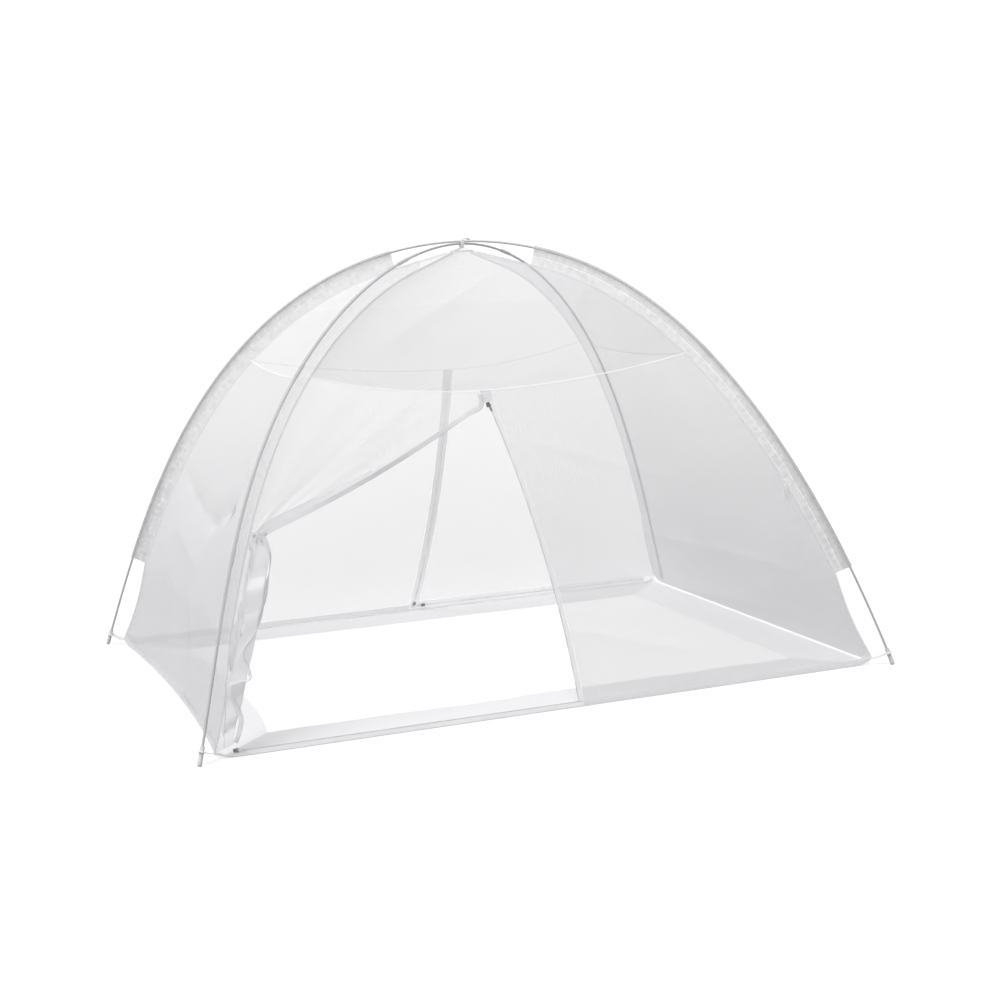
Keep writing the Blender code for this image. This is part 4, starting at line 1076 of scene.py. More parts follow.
def flapGrid(door):
    sewn, free, tieShare = flapLines(door)
    above = np.linspace(0, tieShare, flap["rowsAbove"], endpoint=False)
    v = np.concatenate([above, np.linspace(tieShare, 1, flap["rowsBelow"] + 1)])
    start, edge = sewn(v), free(v)
    span = np.linalg.norm(edge - start, axis=1)
    run = unit(edge - start)
    hang = np.clip((v - tieShare) / (1 - tieShare), 0, 1)
    width = flap["topWidth"] + (flap["footWidth"] - flap["topWidth"]) * v
    rolled = np.maximum(width - span, 0) / flap["rollShare"]
    opened = smoothStep(hang * 5)
    layerWidth = rolled * (1 - opened) + np.interp(hang, flap["hang"], flap["pleats"]) * opened
    plain, per, layers, out = flap["plainColumns"], flap["perLayer"], flap["layers"], door.out
    level = lerp(sewn(0.0), free(0.0), np.linspace(0, 1, plain + 1))
    eaveDip = door.eave(level[:, 0]) - door.lean * tent["clothThick"] - level
    thick = flap["rollThick"] * smoothStep(v / tieShare * 1.2) * (1 - opened) + flap["pleatThick"] * opened
    pinch = 1 - 0.45 * np.exp(-(((v - tieShare) / 0.02) ** 2))
    w = np.linspace(0, 1, plain + 1)
    phase = np.arange(1, layers * per + 1) / per
    layer = np.minimum(np.floor(phase), layers - 1)
    turn = (1 - np.cos(math.pi * phase)) / 2
    points, plane = [], []
    for index, row in enumerate(v):
        flat = start[index] + (edge[index] - start[index]) * w[:, None]
        flat = flat + eaveDip * max(0.0, 1 - row / tieShare)
        drag = np.sin(2 * math.pi * (w * 5.5 + 0.8 * row)) * 0.0008
        drag = drag + np.sin(2 * math.pi * (w * 2.2 - row)) * 0.0018
        settle = softNoise(w * 9, np.full(len(w), row * 12), 501) * 0.0012
        flat = flat + out * ((drag + settle) * np.sin(math.pi * w) * (1 - 0.7 * opened[index]))[:, None]
        wobble = 1 + 0.28 * softNoise(layer * 1.7 + 0.2, np.full(len(layer), row * 17), 502)
        drift = softNoise(phase * 0.7, np.full(len(phase), row * 14), 503)
        reach = turn * layerWidth[index] * wobble * pinch[index]
        lift = (phase / layers - 0.5 + 0.18 * drift) * thick[index] * pinch[index]
        shift = 0.004 * softNoise(np.array([row * 20.0]), np.array([0.5]), 504) * opened[index]
        facet = softNoise(np.full(len(phase), row * 13), phase * 0.25, 505) * flap["facets"] * opened[index]
        fold = edge[index] - run[index] * (reach + shift)[:, None] + out * (lift + facet)[:, None]
        points.append(np.vstack([flat, fold]))
        metre = np.concatenate([w * span[index], span[index] + phase * layerWidth[index]])
        plane.append(np.stack([metre, np.full(len(metre), row * flap["weaveHeight"])], axis=1))
    return np.array(points), np.array(plane), width


def makeFlap():
    points, plane, width = flapGrid(doors["front"])
    points[..., 2] = np.maximum(points[..., 2], flap["floorGap"])
    sheet = addSheet("doorFlapFront", points[::-1], plane[::-1], "gatheredNet", "door_flap_front")


makeFlap()
print("flap made")

# base bands: flat skirts of the same cloth on the floor, mitred at the corners

bands = {
    # The front band takes the darker, less glowing band copy: painted shade
    "front": ((-1, -1), (1, -1), "frontBand"),
    "right": ((1, -1), (1, 1), "bandCloth"),
    "rear": ((1, 1), (-1, 1), "rearBand"),
    "left": ((-1, 1), (-1, -1), "bandCloth"),
}
bandCut = {"cell": 0.0095, "rows": 24, "sway": ((0.10, 0.0035, 601), (0.3, 0.004, 611))}


def bandEnds(name, reachX, reachY):
    return [np.array([side[0] * reachX, side[1] * reachY, 0]) for side in bands[name][:2]]


def makeBands():
    for index, (name, (_, _, cloth)) in enumerate(bands.items()):
        ends = bandEnds(name, cornerX, cornerY)
        inside = bandEnds(name, cornerX - tent["band"], cornerY - tent["band"])
        way = unit(ends[1] - ends[0]) * tent["edgeGap"]
        columns = int(np.linalg.norm(ends[1] - ends[0]) / bandCut["cell"])
        u, v = np.meshgrid(np.linspace(0, 1, columns + 1), np.linspace(0, 1, bandCut["rows"] + 1))
        outer, inward = (lerp(line[0] + way, line[1] - way, u) for line in (ends, inside))
        base = outer * (1 - v[..., None]) + inward * v[..., None]
        away = np.minimum(*(np.linalg.norm(base - end, axis=2) for end in ends))
        base[..., 2] = cornerRise(away) + tent["clothThick"]
        base[..., 0] += hemBow(name, u)
        flatU, flatV, area = flatSize(base)
        middle = smoothStep(u * 14) * smoothStep((1 - u) * 14)
        side = unit(inside[0] + inside[1] - ends[0] - ends[1])
        sway = sum(
            softNoise(flatU / size, flatV * 0, seed + index) * far for size, far, seed in bandCut["sway"]
        )
        points = base + side * (sway * v * middle)[..., None]
        ruck = softNoise(flatU / 0.028, flatV / 0.12, 621 + index) * 0.0011
        ruck += softNoise(flatU / 0.16, flatV / 0.1, 631 + index) * 0.0022
        points[..., 2] += np.abs(ruck) * smoothStep(v / 0.12) * (0.35 + 0.65 * middle)
        points, plane = facingOut(points, np.stack([flatU, flatV], axis=-1), (0, 0, 1))
        sheet = addSheet(
            f"baseBand{name.title()}", points, plane, cloth, f"base_band_{name}"
        )
        size = (float(flatU[:, -1].max()), tent["band"])
        area = min(area, size[0] * size[1])


makeBands()
print("bands made")

# sleeves: one strip up from the seam, round the pole and back down

sleeve = {
    "wrap": 0.0061,
    "swing": math.pi * 1.28,
    "ply": 0.0007,
    "step": 0.0065,
    "seamGap": 0.0012,
    "gather": 0.0016,
    "upRows": 9,
    "roundRows": 13,
    "cloths": {
        "front_left": "frontSleeve", "front_right": "rightSleeve",
        "rear_left": "leftSleeve", "rear_right": "farSleeve",
    },
}


def halfPole(sideX, sideY, lift):
    line = poleLine(lift, sideX * -sideY)
    half = line[line[:, 1] * sideY >= -1e-6]
    return half[np.argsort(-half[:, 2])]


def sleeveGrid(sideX, sideY, seed):
    half = halfPole(sideX, sideY, tent["upperRise"] if sideX * sideY < 0 else 0.0)
    run = runOf(half)
    start = float(np.interp(tent["sleeveTop"], np.hypot(half[:, 0], half[:, 1]), run))
    end = float(np.interp(-tent["sleeveFoot"], -half[:, 2], run))
    distance = np.linspace(start, end, int((end - start) / sleeve["step"]) + 1)
    station = pointAt(half, run, distance)
    tangent = unit(np.gradient(station, axis=0))
    plane = np.array([sideX * alongX, sideY * alongY, 0.0])
    across = np.array([-plane[1], plane[0], 0.0])
    radial = unit(np.cross(across, tangent))
    radial *= np.sign(radial @ plane)[:, None]
    seam = onSeam(np.linspace(0.0, seamLength, 900), sideX, sideY)
    depth = np.linalg.norm(station[:, None] - seam[None], axis=2).min(axis=1) - sleeve["seamGap"]
    # One row of the strip: up one ply, round the pole, and down the other ply
    up, fold = np.linspace(0, 1, sleeve["upRows"]), np.ones(sleeve["roundRows"])
    angles = np.linspace(sleeve["swing"] / 2, -sleeve["swing"] / 2, len(fold))
    w = np.concatenate([up, fold, up[::-1]])[None, :]
    side = np.concatenate([up * 0 + 1, fold * 0, up * 0 - 1])[None, :]
    bend = np.concatenate([up * 0, sleeve["wrap"] * np.cos(angles), up * 0])[None, :]
    ply = up * 0 + sleeve["ply"]
    y = np.concatenate([ply, sleeve["wrap"] * np.sin(angles), -ply])[None, :]
    s = distance[:, None]
    x = np.where(side == 0, bend, -depth[:, None] * (1 - w) - sleeve["wrap"] * 2.2 * w)
    gathers = np.sin(2 * math.pi * s / 0.021 + 4 * softNoise(s / 0.08, s * 0 + 0.4, seed)) * 0.5
    gathers = gathers + softNoise(s / 0.012 + 0 * w, w * 3 + 0 * s, seed + 1) * 0.7
    both = gathers * sleeve["gather"] * np.sin(math.pi * np.clip(w, 0, 1)) * (side != 0)
    apart = np.abs(softNoise(s / 0.05 + 0 * w, w * 2 + side * 5, seed + 2)) * 0.0011
    y = y + both + apart * side * np.sin(math.pi * w)
    grow = 1 + 0.05 * softNoise(s / 0.03 + 0 * w, w * 4 + 0 * s, seed + 3) * (side == 0)
    y = np.where(side == 0, y * grow, y)
    return station[:, None] + radial[:, None] * (x * grow)[..., None] + across * y[..., None]


def makeSleeves():
    for index, (corner, (sideX, sideY)) in enumerate(corners.items()):
        points = sleeveGrid(sideX, sideY, 701 + index * 11)
        u, v, area = flatSize(points)
        plane = np.stack([u - u[:, -1:] / 2, v], axis=-1)
        sheet = addSheet(
            f"poleSleeve{titled(corner)}", points, plane, sleeve["cloths"][corner],
            f"pole_sleeve_{corner}",
        )


makeSleeves()
print("sleeves made")

# modelling helpers: a piece is made straight, then laid along a line of the tent


def editMode():
    # Edit mode with everything selected
    bpy.ops.object.mode_set(mode="EDIT")
    bpy.ops.mesh.select_all(action="SELECT")


def objectMode():
    bpy.ops.object.mode_set(mode="OBJECT")


def extrudeBy(x, y, z):
    bpy.ops.mesh.extrude_region_move(TRANSFORM_OT_translate={"value": (x, y, z)})


def modify(piece, kind, **settings):
    step = piece.modifiers.new(kind.lower(), kind)
    for key, value in settings.items():
        setattr(step, key, value)
    bpy.context.view_layer.objects.active = piece
    piece.select_set(True)
    bpy.ops.object.modifier_apply(modifier=step.name)


def smoothFaces(degrees):
    bpy.ops.object.shade_smooth_by_angle(angle=math.radians(degrees))


def repeat(piece, count, pitch):
    modify(
        piece, "ARRAY", count=count, use_relative_offset=False, use_constant_offset=True,
        constant_offset_displace=(pitch, 0, 0),
    )


def addStrip(name, length, width, spans, thick, rows=4):
    # A straight tape from x = 0, as wide as it is in y
    bpy.ops.mesh.primitive_grid_add(x_subdivisions=spans, y_subdivisions=rows, size=1.0)
    strip = named(name)
    strip.scale = (length, width, 1)
    strip.location = (length / 2, 0, 0)
    bpy.ops.object.transform_apply(location=True, scale=True)
    writePlane(strip, placesOf(strip)[:, :2] + np.array([0, width / 2]))
    modify(strip, "SOLIDIFY", thickness=thick, offset=0)
    smoothFaces(40)
    return strip


def layAlong(piece, path, ripple=None, start=0.0):
    # x runs along the line, y across it and z out of it
    place, across, out = path
    run = runOf(place)
    s, y, z = placesOf(piece).T
    s = s + start
    if ripple is not None:
        z = z + ripple(s, y)
    sideways = pointAt(across, run, s) * y[:, None]
    movePlaces(piece, pointAt(place, run, s) + sideways + pointAt(out, run, s) * z[:, None])


def softRipple(depth, wave, seed):
    return lambda s, y: depth * softNoise(s / wave, y / 0.02 + 0.5, seed)


def pathOf(place, out):
    # Across is square to the line and to the given outward direction
    tangent = unit(np.gradient(place, axis=0))
    out = np.broadcast_to(np.asarray(out, float), place.shape)
    across = unit(np.cross(out, tangent))
    return place, across, unit(np.cross(tangent, across))


def edgePath(place, up, away):
    # A path along a panel's edge, facing away from the tent
    out = unit(np.cross(unit(np.gradient(place, axis=0)), up))
    return pathOf(place, out * np.sign(out @ np.array(away, float))[:, None])


def shifted(path, across=0.0, out=0.0):
    return path[0] + path[1] * across + path[2] * out, path[1], path[2]


def joinPieces(name, pieces):
    bpy.ops.object.select_all(action="DESELECT")
    for piece in pieces:
        piece.select_set(True)
    bpy.context.view_layer.objects.active = pieces[0]
    bpy.ops.object.join()
    return named(name)


# seam tapes: bindings along the corner seams, the eave and the hems

binding = {
    "step": 0.012,
    "thick": 0.0009,
    "ridge": {"width": 0.007, "inset": 0.002, "foot": 0.012, "top": 0.05, "ripple": (0.0008, 0.03)},
    "eave": {"width": 0.0045, "shift": 0.0009, "ripple": (0.0006, 0.025)},
    "hem": {"width": 0.016, "thick": 0.0014, "lift": 0.0022, "inset": 0.0075, "ends": 0.004},
    # each wall's foot: height, shift, cloth and outward direction
    "foot": {
        "Left": (0.020, 0.0016, "edgeTape", (-1, 0, 0)),
        # the right foot's strip is pale and glows strongly: a painted light line
        "Right": (0.009, -0.0016, "footEdge", (1, 0, 0)),
        "Front": (0.020, 0.0016, "edgeTape", (0, -1, 0)),
        "Rear": (0.020, 0.0016, "edgeTape", (0, 1, 0)),
    },
}


def layTape(name, path, width, cloth, ripple, thick=binding["thick"], shift=0.0):
    length = runOf(path[0])[-1]
    tape = addStrip(name, length, width, max(4, int(length / binding["step"])), thick)
    layAlong(tape, shifted(path, out=shift), ripple)
    finishPiece(tape, cloth)


def makeBindings():
    ridge = binding["ridge"]
    for index, (corner, (sideX, sideY)) in enumerate(corners.items()):
        place = onSeam(np.linspace(ridge["foot"], seamLength - ridge["top"], 260), sideX, sideY)
        path = pathOf(place, (-sideY * alongY, sideX * alongX, 0.0))
        inward = path[1] * np.sign(path[1] @ np.array([sideX, sideY, 0.0]))[:, None]
        laid = (place - inward * ridge["inset"], path[1], path[2])
        ripple = softRipple(*ridge["ripple"], 801 + index)
        layTape(f"cornerSeam{titled(corner)}", laid, ridge["width"], "edgeTape", ripple)
    eave = binding["eave"]
    for index, (name, (_, _, inward)) in enumerate(roof["sides"].items()):
        base = roofBase(name, 160, 4)
        path = edgePath(base[0], unit(base[1] - base[0]), -np.array(inward))
        cloth = "rearEdge" if name == "rear" else "paleEdge"
        ripple = softRipple(*eave["ripple"], 821 + index)
        layTape(f"eaveTape{name.title()}", path, eave["width"], cloth, ripple, shift=eave["shift"])


def makeHems():
    # The outer binding on the floor
    hem = binding["hem"]
    for index, (name, (_, _, cloth)) in enumerate(bands.items()):
        ends = bandEnds(name, cornerX, cornerY)
        t = np.linspace(hem["ends"], 1 - hem["ends"], 220)
        place = lerp(ends[0], ends[1], t)
        near = np.minimum(t, 1 - t) * np.linalg.norm(ends[1] - ends[0])
        place[:, 2] = cornerRise(near) + hem["lift"]
        place = place + unit(-(ends[0] + ends[1])) * hem["inset"]
        place[:, 0] += hemBow(name, t)
        layTape(
            f"floorHem{name.title()}", pathOf(place, (0, 0, 1)), hem["width"], cloth,
            lambda s, y: abs(softNoise(s / 0.05, y / 0.02, 841 + index)) * 0.0012,
            thick=hem["thick"],
        )


def makeWallFeet():
    # A doubled strip sewn to the net's foot, with its upper edge showing as a second line
    bases = (
        wallBase(-1, 160, 60), wallBase(1, 160, 60),
        longPanelBase(doors["front"], False, 160, 60), longPanelBase(doors["rear"], False, 160, 60),
    )
    for (name, (height, shift, cloth, away)), base in zip(binding["foot"].items(), bases):
        rowHeight = np.linalg.norm(base[1] - base[0], axis=1)
        row = np.clip(height / 2 / np.maximum(rowHeight, 1e-6), 0, 8)
        low = row.astype(int)
        part = (row - low)[:, None]
        column = np.arange(base.shape[1])
        place = base[low, column] * (1 - part) + base[low + 1, column] * part
        path = edgePath(place, unit(base[3] - base[0]), away)
        layTape(f"wallFoot{name}", path, height, cloth, softRipple(0.0007, 0.02, 861), shift=shift)


makeBindings()
makeHems()
makeWallFeet()
print("seam tapes made")

# poles: hollow sections drawn to a ferrule, and their turned foot sockets

pole = {
    "sections": 7,
    "ferrule": 0.045,
    "taper": 0.003,
    "gap": 0.0006,
    "step": 0.016,
    "sides": 20,
    # the ferrule's rolled end: distance drawn and change of width
    "lip": ((0.0006, 1.06), (0.0022, None), (0.0006, 0.92)),
    "mouth": 0.004,
}


def polePiece(name, length, ferrule, steps):
    # A circle drawn out length by length, then opened out for the next section's end
    radius = tent["poleRadius"]
    bpy.ops.mesh.primitive_circle_add(
        vertices=pole["sides"], radius=radius, fill_type="NGON", rotation=(0, math.pi / 2, 0)
    )
    rod = named(name)
    bpy.ops.object.transform_apply(rotation=True)
    draws = [(length / steps, None)] * steps
    if ferrule:
        draws += [(pole["taper"] * 0.5, tent["ferruleRadius"] / radius), (pole["gap"], None)]
        draws += [((pole["ferrule"] - pole["taper"]) / 4, None)] * 4
        draws += pole["lip"]
    editMode()
    reached = 0.0
    for distance, factor in draws:
        reached += distance
        extrudeBy(distance, 0, 0)
        if factor:
            bpy.ops.transform.resize(value=(1, factor, factor), center_override=(reached, 0, 0))
    if ferrule:
        bpy.ops.mesh.inset(thickness=radius * 0.28)
        extrudeBy(-pole["mouth"], 0, 0)
    objectMode()
    smoothFaces(35)
    return rod


def makePoles():
    lines = {}
    first = tent["footLength"] - tent["footSeat"] - tent["footRadius"]
    for letter, lift, side in (("b", 0.0, -1), ("a", tent["upperRise"], 1)):
        line = lines[letter] = poleLine(lift, side)
        plane = unit((line[-1] - line[0]) * np.array([1, 1, 0]))
        path = pathOf(line, np.cross(plane, (0, 0, 1)))
        total = runOf(line)[-1]
        share = total / pole["sections"]
        for index in range(pole["sections"]):
            begin = max(index * share + pole["gap"], first)
            last = index == pole["sections"] - 1
            length = (total - first if last else (index + 1) * share - pole["taper"]) - begin
            name = f"poleSection{letter.upper()}{index + 1}"
            rod = polePiece(name, length, not last, int(length / pole["step"]))
            layAlong(rod, path, start=begin)
            finishPiece(rod, "polePaint", f"pole_{letter}_section_{index + 1}")
    for letter in ("a", "b"):
        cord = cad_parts[f"pole_{letter}_shock_cord"]
        cord.data.materials.clear()
        cord.data.materials.append(paint["cordCover"])
    return lines


poleLines = makePoles()
print("poles made")

foot = {
    # the end of each pole that stands in it
    "ends": {
        "front_left": ("b", True), "rear_right": ("b", False),
        "front_right": ("a", True), "rear_left": ("a", False),
    },
    # distance up the socket and radius at each turn of its outline
    "outline": (
        (-0.0065, 0.0022), (-0.0058, 0.0040), (-0.0042, 0.0054), (-0.0018, 0.0063), (0.0012, 0.0065),
        (0.0120, 0.0064), (0.0220, 0.0061), (0.0330, 0.0060), (0.0415, 0.0062), (0.0440, 0.0065),
        (0.0455, 0.0063),
    ),
    # the collars below and above the webbing: distance from its groove and radius
    "below": ((-0.00216, 0.00645), (-0.00108, 0.0079), (0.0, 0.0079), (0.0, 0.0065)),
    "above": ((0.0, 0.0065), (0.0, 0.0079), (0.00108, 0.0079), (0.00216, 0.0064)),
    "groove": 0.0010,
    "bore": 0.0040,
    "seat": 0.0195,
    "sides": 32,
}
tab = {"width": 0.024, "thick": 0.0016, "hole": 0.0068, "eye": 0.0118, "sides": 40, "steps": 5}


def footFrame(line, atEnd):
    tip, after = (line[-1], line[-4]) if atEnd else (line[0], line[3])
    upward = unit(after - tip)
    inward = unit(np.array([-tip[0], -tip[1], 0.0]))
    flat = unit(inward - upward * (inward @ upward))
    turn = Matrix((flat, np.cross(upward, flat), upward)).transposed().to_4x4()
    return Matrix.Translation(Vector(tip)) @ turn


def makeSocket(corner, place, level):
    # A circle drawn up through the outline, then cut down again for the bore
    low, high = level - foot["groove"], level + foot["groove"]
    collar = [(low + rise, radius) for rise, radius in foot["below"]]
    collar += [(high + rise, radius) for rise, radius in foot["above"]]
    outline = [turn for turn in foot["outline"] if turn[0] < collar[0][0]] + collar
    outline += [turn for turn in foot["outline"] if turn[0] > collar[-1][0]]
    outline += [(outline[-1][0], foot["bore"]), (foot["seat"], foot["bore"])]
    z, radius = outline[0]
    bpy.ops.mesh.primitive_circle_add(
        vertices=foot["sides"], radius=radius, fill_type="NGON", location=(0, 0, z)
    )
    socket = named(f"footSocket{titled(corner)}")
    bpy.ops.object.transform_apply(location=True)
    editMode()
    bpy.ops.mesh.flip_normals()
    for nextZ, nextRadius in outline[1:]:
        extrudeBy(0, 0, nextZ - z)
        factor = nextRadius / radius
        bpy.ops.transform.resize(value=(factor, factor, 1), center_override=(0, 0, nextZ))
        z, radius = nextZ, nextRadius
    bpy.ops.mesh.select_all(action="SELECT")
    bpy.ops.mesh.normals_make_consistent(inside=False)
    objectMode()
    smoothFaces(40)
    socket.data.transform(place)
    finishPiece(socket, "socketPlastic", f"foot_socket_{corner}")


def makeTab(corner, place, end):
    # An eye of webbing round the socket, drawn out to the net's corner
    hole, eye, steps = tab["hole"], tab["eye"], tab["steps"]
    bpy.ops.mesh.primitive_circle_add(
        vertices=tab["sides"], radius=hole, fill_type="NOTHING", location=(0, 0, 0)
    )
    strap = named(f"cornerTab{titled(corner)}")
    editMode()
    bpy.ops.mesh.extrude_edges_move()
    bpy.ops.transform.resize(value=(eye / hole, eye / hole, 1), center_override=(0, 0, 0))
    objectMode()
    verts = strap.data.vertices
    for vert in verts:
        vert.select = vert.co.x > 0.2 * eye and vert.co.length > hole * 1.2
    for edge in strap.data.edges:
        edge.select = all(verts[index].select for index in edge.vertices)
    for face in strap.data.polygons:
        face.select = False
    bpy.ops.object.mode_set(mode="EDIT")
    bpy.ops.mesh.select_mode(type="EDGE")
    for _ in range(steps):
        bpy.ops.mesh.extrude_edges_move(TRANSFORM_OT_translate={"value": (0.001, 0, 0)})
    objectMode()
    columns = {}
    for vert in strap.data.vertices:
        if vert.co.length > hole * 1.2:
            columns.setdefault(round(vert.co.y, 6), []).append(vert)
    wide = tab["width"] / 2 / eye
    for y, column in columns.items():
        column.sort(key=lambda vert: vert.co.x)
        drawn = column[-(steps + 1):] if len(column) > steps else []
        begin = drawn[0].co.x if drawn else 0.0
        for index, vert in enumerate(drawn):
            t = index / steps
            vert.co.x = begin + (end.x - begin) * t
            vert.co.y = y * (1 + (wide - 1) * t) if abs(y) > 1e-9 else 0.0
    strap.data.update()
    editMode()
    bpy.ops.mesh.remove_doubles(threshold=0.00005)
    objectMode()
    modify(strap, "SOLIDIFY", thickness=tab["thick"], offset=0)
    modify(strap, "BEVEL", width=0.0004, segments=2)
    smoothFaces(40)
    writePlane(strap, placesOf(strap)[:, :2])
    strap.data.transform(place @ Matrix.Translation((0, 0, end.z)))
    finishPiece(strap, "webbing", f"corner_tab_{corner}")


def makeFeet():
    for corner, (letter, atEnd) in foot["ends"].items():
        place = footFrame(poleLines[letter], atEnd)
        sideX, sideY = corners[corner]
        reach = seamLine[0][0] + tent["clothThick"]
        netCorner = Vector((sideX * alongX * reach, sideY * alongY * reach, tent["cornerHeight"]))
        # The webbing lies level with the net's corner on the socket
        end = place.inverted() @ netCorner
        makeSocket(corner, place, end.z)
        makeTab(corner, place, end)


makeFeet()
print("feet made")

# zips: tape and coil in runs, laid along the same arc and floor line as the sliders

coil = {"pitch": 0.0023, "size": (0.0011, 0.0024, 0.0019), "edge": 0.00035}
zipLap = 0.0008


def uprightPath(door, side, end):
    place, over, out = door.upright(np.linspace(0, end, 90))
    return door.turn(place), door.turn(over * side), door.turn(out)


def sillPath(door, side, start, end):
    # side 1 is the half sewn to the floor band, side -1 the door's
    place = door.sillLine + np.array([1, 0, 0]) * np.linspace(start, end, 120)[:, None]
    over = np.broadcast_to(-door.lean * side, place.shape)
    out = np.broadcast_to(door.out, place.shape)
    return door.turn(place), door.turn(over), door.turn(out)


def addCoil(name, path, shift=0.0):
    # One small tooth, bevelled and repeated along the run
    bpy.ops.mesh.primitive_cube_add(size=1.0)
    teeth = named(name)
    teeth.scale = coil["size"]
    bpy.ops.object.transform_apply(scale=True)
    editMode()
    bpy.ops.mesh.bevel(offset=coil["edge"], segments=1, affect="EDGES")
    objectMode()
    repeat(teeth, int((runOf(path[0])[-1] - shift) / coil["pitch"]), coil["pitch"])
    layAlong(teeth, path, start=coil["pitch"] / 2 + shift)
    return teeth


def zipHalf(name, node, runs, tapeCloth, coilPaint, shift=0.0):
    # Each run is its path down the coil's middle and the depth of its tape's ripple
    tapes, coils = [], []
    width = zipSize["tape"] + 2 * zipLap
    for index, (path, puckers) in enumerate(runs):
        middle = shifted(path, across=chainHalf + zipSize["tape"] / 2 - zipLap)
        length = runOf(middle[0])[-1]
        spans = int(length / zipSize["step"])
        tape = addStrip(f"{name}Tape{index}", length, width, spans, zipSize["tapeThick"])
        layAlong(tape, middle, softRipple(puckers, 0.02, 901 + index))
        tapes.append(tape)
        centre = shifted(path, across=zipSize["split"] + zipSize["coil"] / 2)
        coils.append(addCoil(f"{name}Coil{index}", centre, shift))
    finishPiece(joinPieces(name, tapes), tapeCloth, node)
    finishPiece(joinPieces(f"{name}Coil", coils), coilPaint)


def makeZips():
    front, rear = doors["front"], doors["rear"]
    far, turnIn = zipSize["farEnd"] - cornerX, zipSize["turnIn"]
    fixed = (
        ("front", front, 0.0012, 0.0006, "zipTape", "coilNylon"),
        ("rear", rear, 0.0016, 0.0008, "farTape", "paleCoil"),
    )
    for name, door, upRipple, sillRipple, tapeCloth, coilPaint in fixed:
        zipHalf(f"{name}ZipFixed", f"{name}_zip_fixed_half", [
            (uprightPath(door, 1, door.run + turnIn), upRipple),
            (sillPath(door, 1, far, door.footX + tapeReach), sillRipple),
        ], tapeCloth, coilPaint)
    zipHalf("rearZipDoor", "rear_zip_door_half", [
        (uprightPath(rear, -1, rear.run), 0.0016),
        (sillPath(rear, -1, far, rear.footX + turnIn / 2 - tapeReach), 0.0008),
    ], "farTape", "paleCoil", shift=coil["pitch"] / 2)
    makeFlapZip(front)


flapZip = {
    # the turns of the hanging end, below the edge that follows the roll
    "cascade": (
        (-0.8060, -0.5560, 0.5480), (-0.8005, -0.5740, 0.4900), (-0.8230, -0.6050, 0.4100),
        (-0.8466, -0.6260, 0.3432), (-0.8800, -0.6450, 0.2950), (-0.9100, -0.6560, 0.2520),
        (-0.8990, -0.6680, 0.2180), (-0.8970, -0.6760, 0.1900), (-0.9260, -0.6790, 0.1860),
        (-0.9520, -0.6800, 0.1800), (-0.9540, -0.6850, 0.1620), (-0.9400, -0.6980, 0.1250),
        (-0.9330, -0.7080, 0.0920), (-0.9400, -0.7150, 0.0660), (-0.9540, -0.7230, 0.0380),
    ),
    "infront": 0.034,
    "width": 0.0125,
    "thick": 0.0007,
}


def smoothLine(points, count):
    # A smooth curve through the given turns
    points = np.asarray(points, float)
    run = runOf(points)
    t = np.linspace(0, run[-1], count)
    slope = np.gradient(points, run, axis=0)
    index = np.clip(np.searchsorted(run, t, side="right") - 1, 0, len(run) - 2)
    span = run[index + 1] - run[index]
    a = ((t - run[index]) / span)[:, None]
    span = span[:, None]
    p0, p1, m0, m1 = points[index], points[index + 1], slope[index], slope[index + 1]
    return (
        (2 * a**3 - 3 * a**2 + 1) * p0 + (a**3 - 2 * a**2 + a) * span * m0
        + (-2 * a**3 + 3 * a**2) * p1 + (a**3 - a**2) * span * m1
    )


def makeFlapZip(door):
    _, free, tieShare = flapLines(door)
    edge = free(np.linspace(0.012, tieShare * 0.985, 40)) + door.out * 0.008 - door.lean * 0.002
    cascade = np.array(flapZip["cascade"]) + door.out * flapZip["infront"]
    place = smoothLine(np.vstack([edge[::3], cascade]), 420)
    run = runOf(place)
    # The tape twists a little along the roll, and more where it hangs
    twist = 0.9 * np.sin(run / 0.085) + 0.6 * softNoise(run / 0.05, run * 0, 921)
    edgeRun = runOf(edge)[-1]
    twist = (twist * np.interp(run, [0, edgeRun, edgeRun + 0.05], [0.25, 0.35, 1.0]))[:, None]
    path = pathOf(place, door.out)
    across = path[1] * np.cos(twist) + path[2] * np.sin(twist)
    out = path[2] * np.cos(twist) - path[1] * np.sin(twist)
    tape = addStrip("frontZipFlap", run[-1], flapZip["width"], int(run[-1] / 0.005), flapZip["thick"])
    layAlong(tape, (place, across, out), softRipple(0.0012, 0.02, 931))
    finishPiece(tape, "flapTape", "front_zip_flap_half")
    inner = shifted((place, across, out), across=flapZip["width"] / 2 - zipLap)
    finishPiece(addCoil("frontZipFlapCoil", inner), "paleCoil")


makeZips()
print("zips made")

# sliders and pulls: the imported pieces' own shapes, merged and softened at their edges


def softCopy(node, name, metal, bevel):
    copy = bpy.data.objects.new(name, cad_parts[node].data.copy())
    copy.data.name = name
    bpy.context.scene.collection.objects.link(copy)
    bpy.context.view_layer.objects.active = copy
    copy.select_set(True)
    editMode()
    bpy.ops.mesh.remove_doubles(threshold=0.000002)
    bpy.ops.mesh.tris_convert_to_quads(face_threshold=math.radians(4), shape_threshold=math.radians(60))
    objectMode()
    modify(copy, "BEVEL", width=bevel, segments=2, limit_method="ANGLE", angle_limit=math.radians(35))
    smoothFaces(45)
    finishPiece(copy, metal, node, rideOn=f"{node}_body")


def makeSliders():
    for door in ("front", "rear"):
        for run in ("upright", "sill"):
            shade = "dark" if (door, run) == ("front", "upright") else "pale"
            for part, bevel in (("slider", 0.00022), ("pull", 0.0003)):
                name, title = f"{door}_{run}_{part}", part.title()
                softCopy(name, door + run.title() + title, shade + title, bevel)


makeSliders()
print("sliders made")

# patches and ties

stitch = {"length": 0.0024, "width": 0.0005, "pitch": 0.0036, "rows": (0.12, 0.36, 0.62, 0.88)}


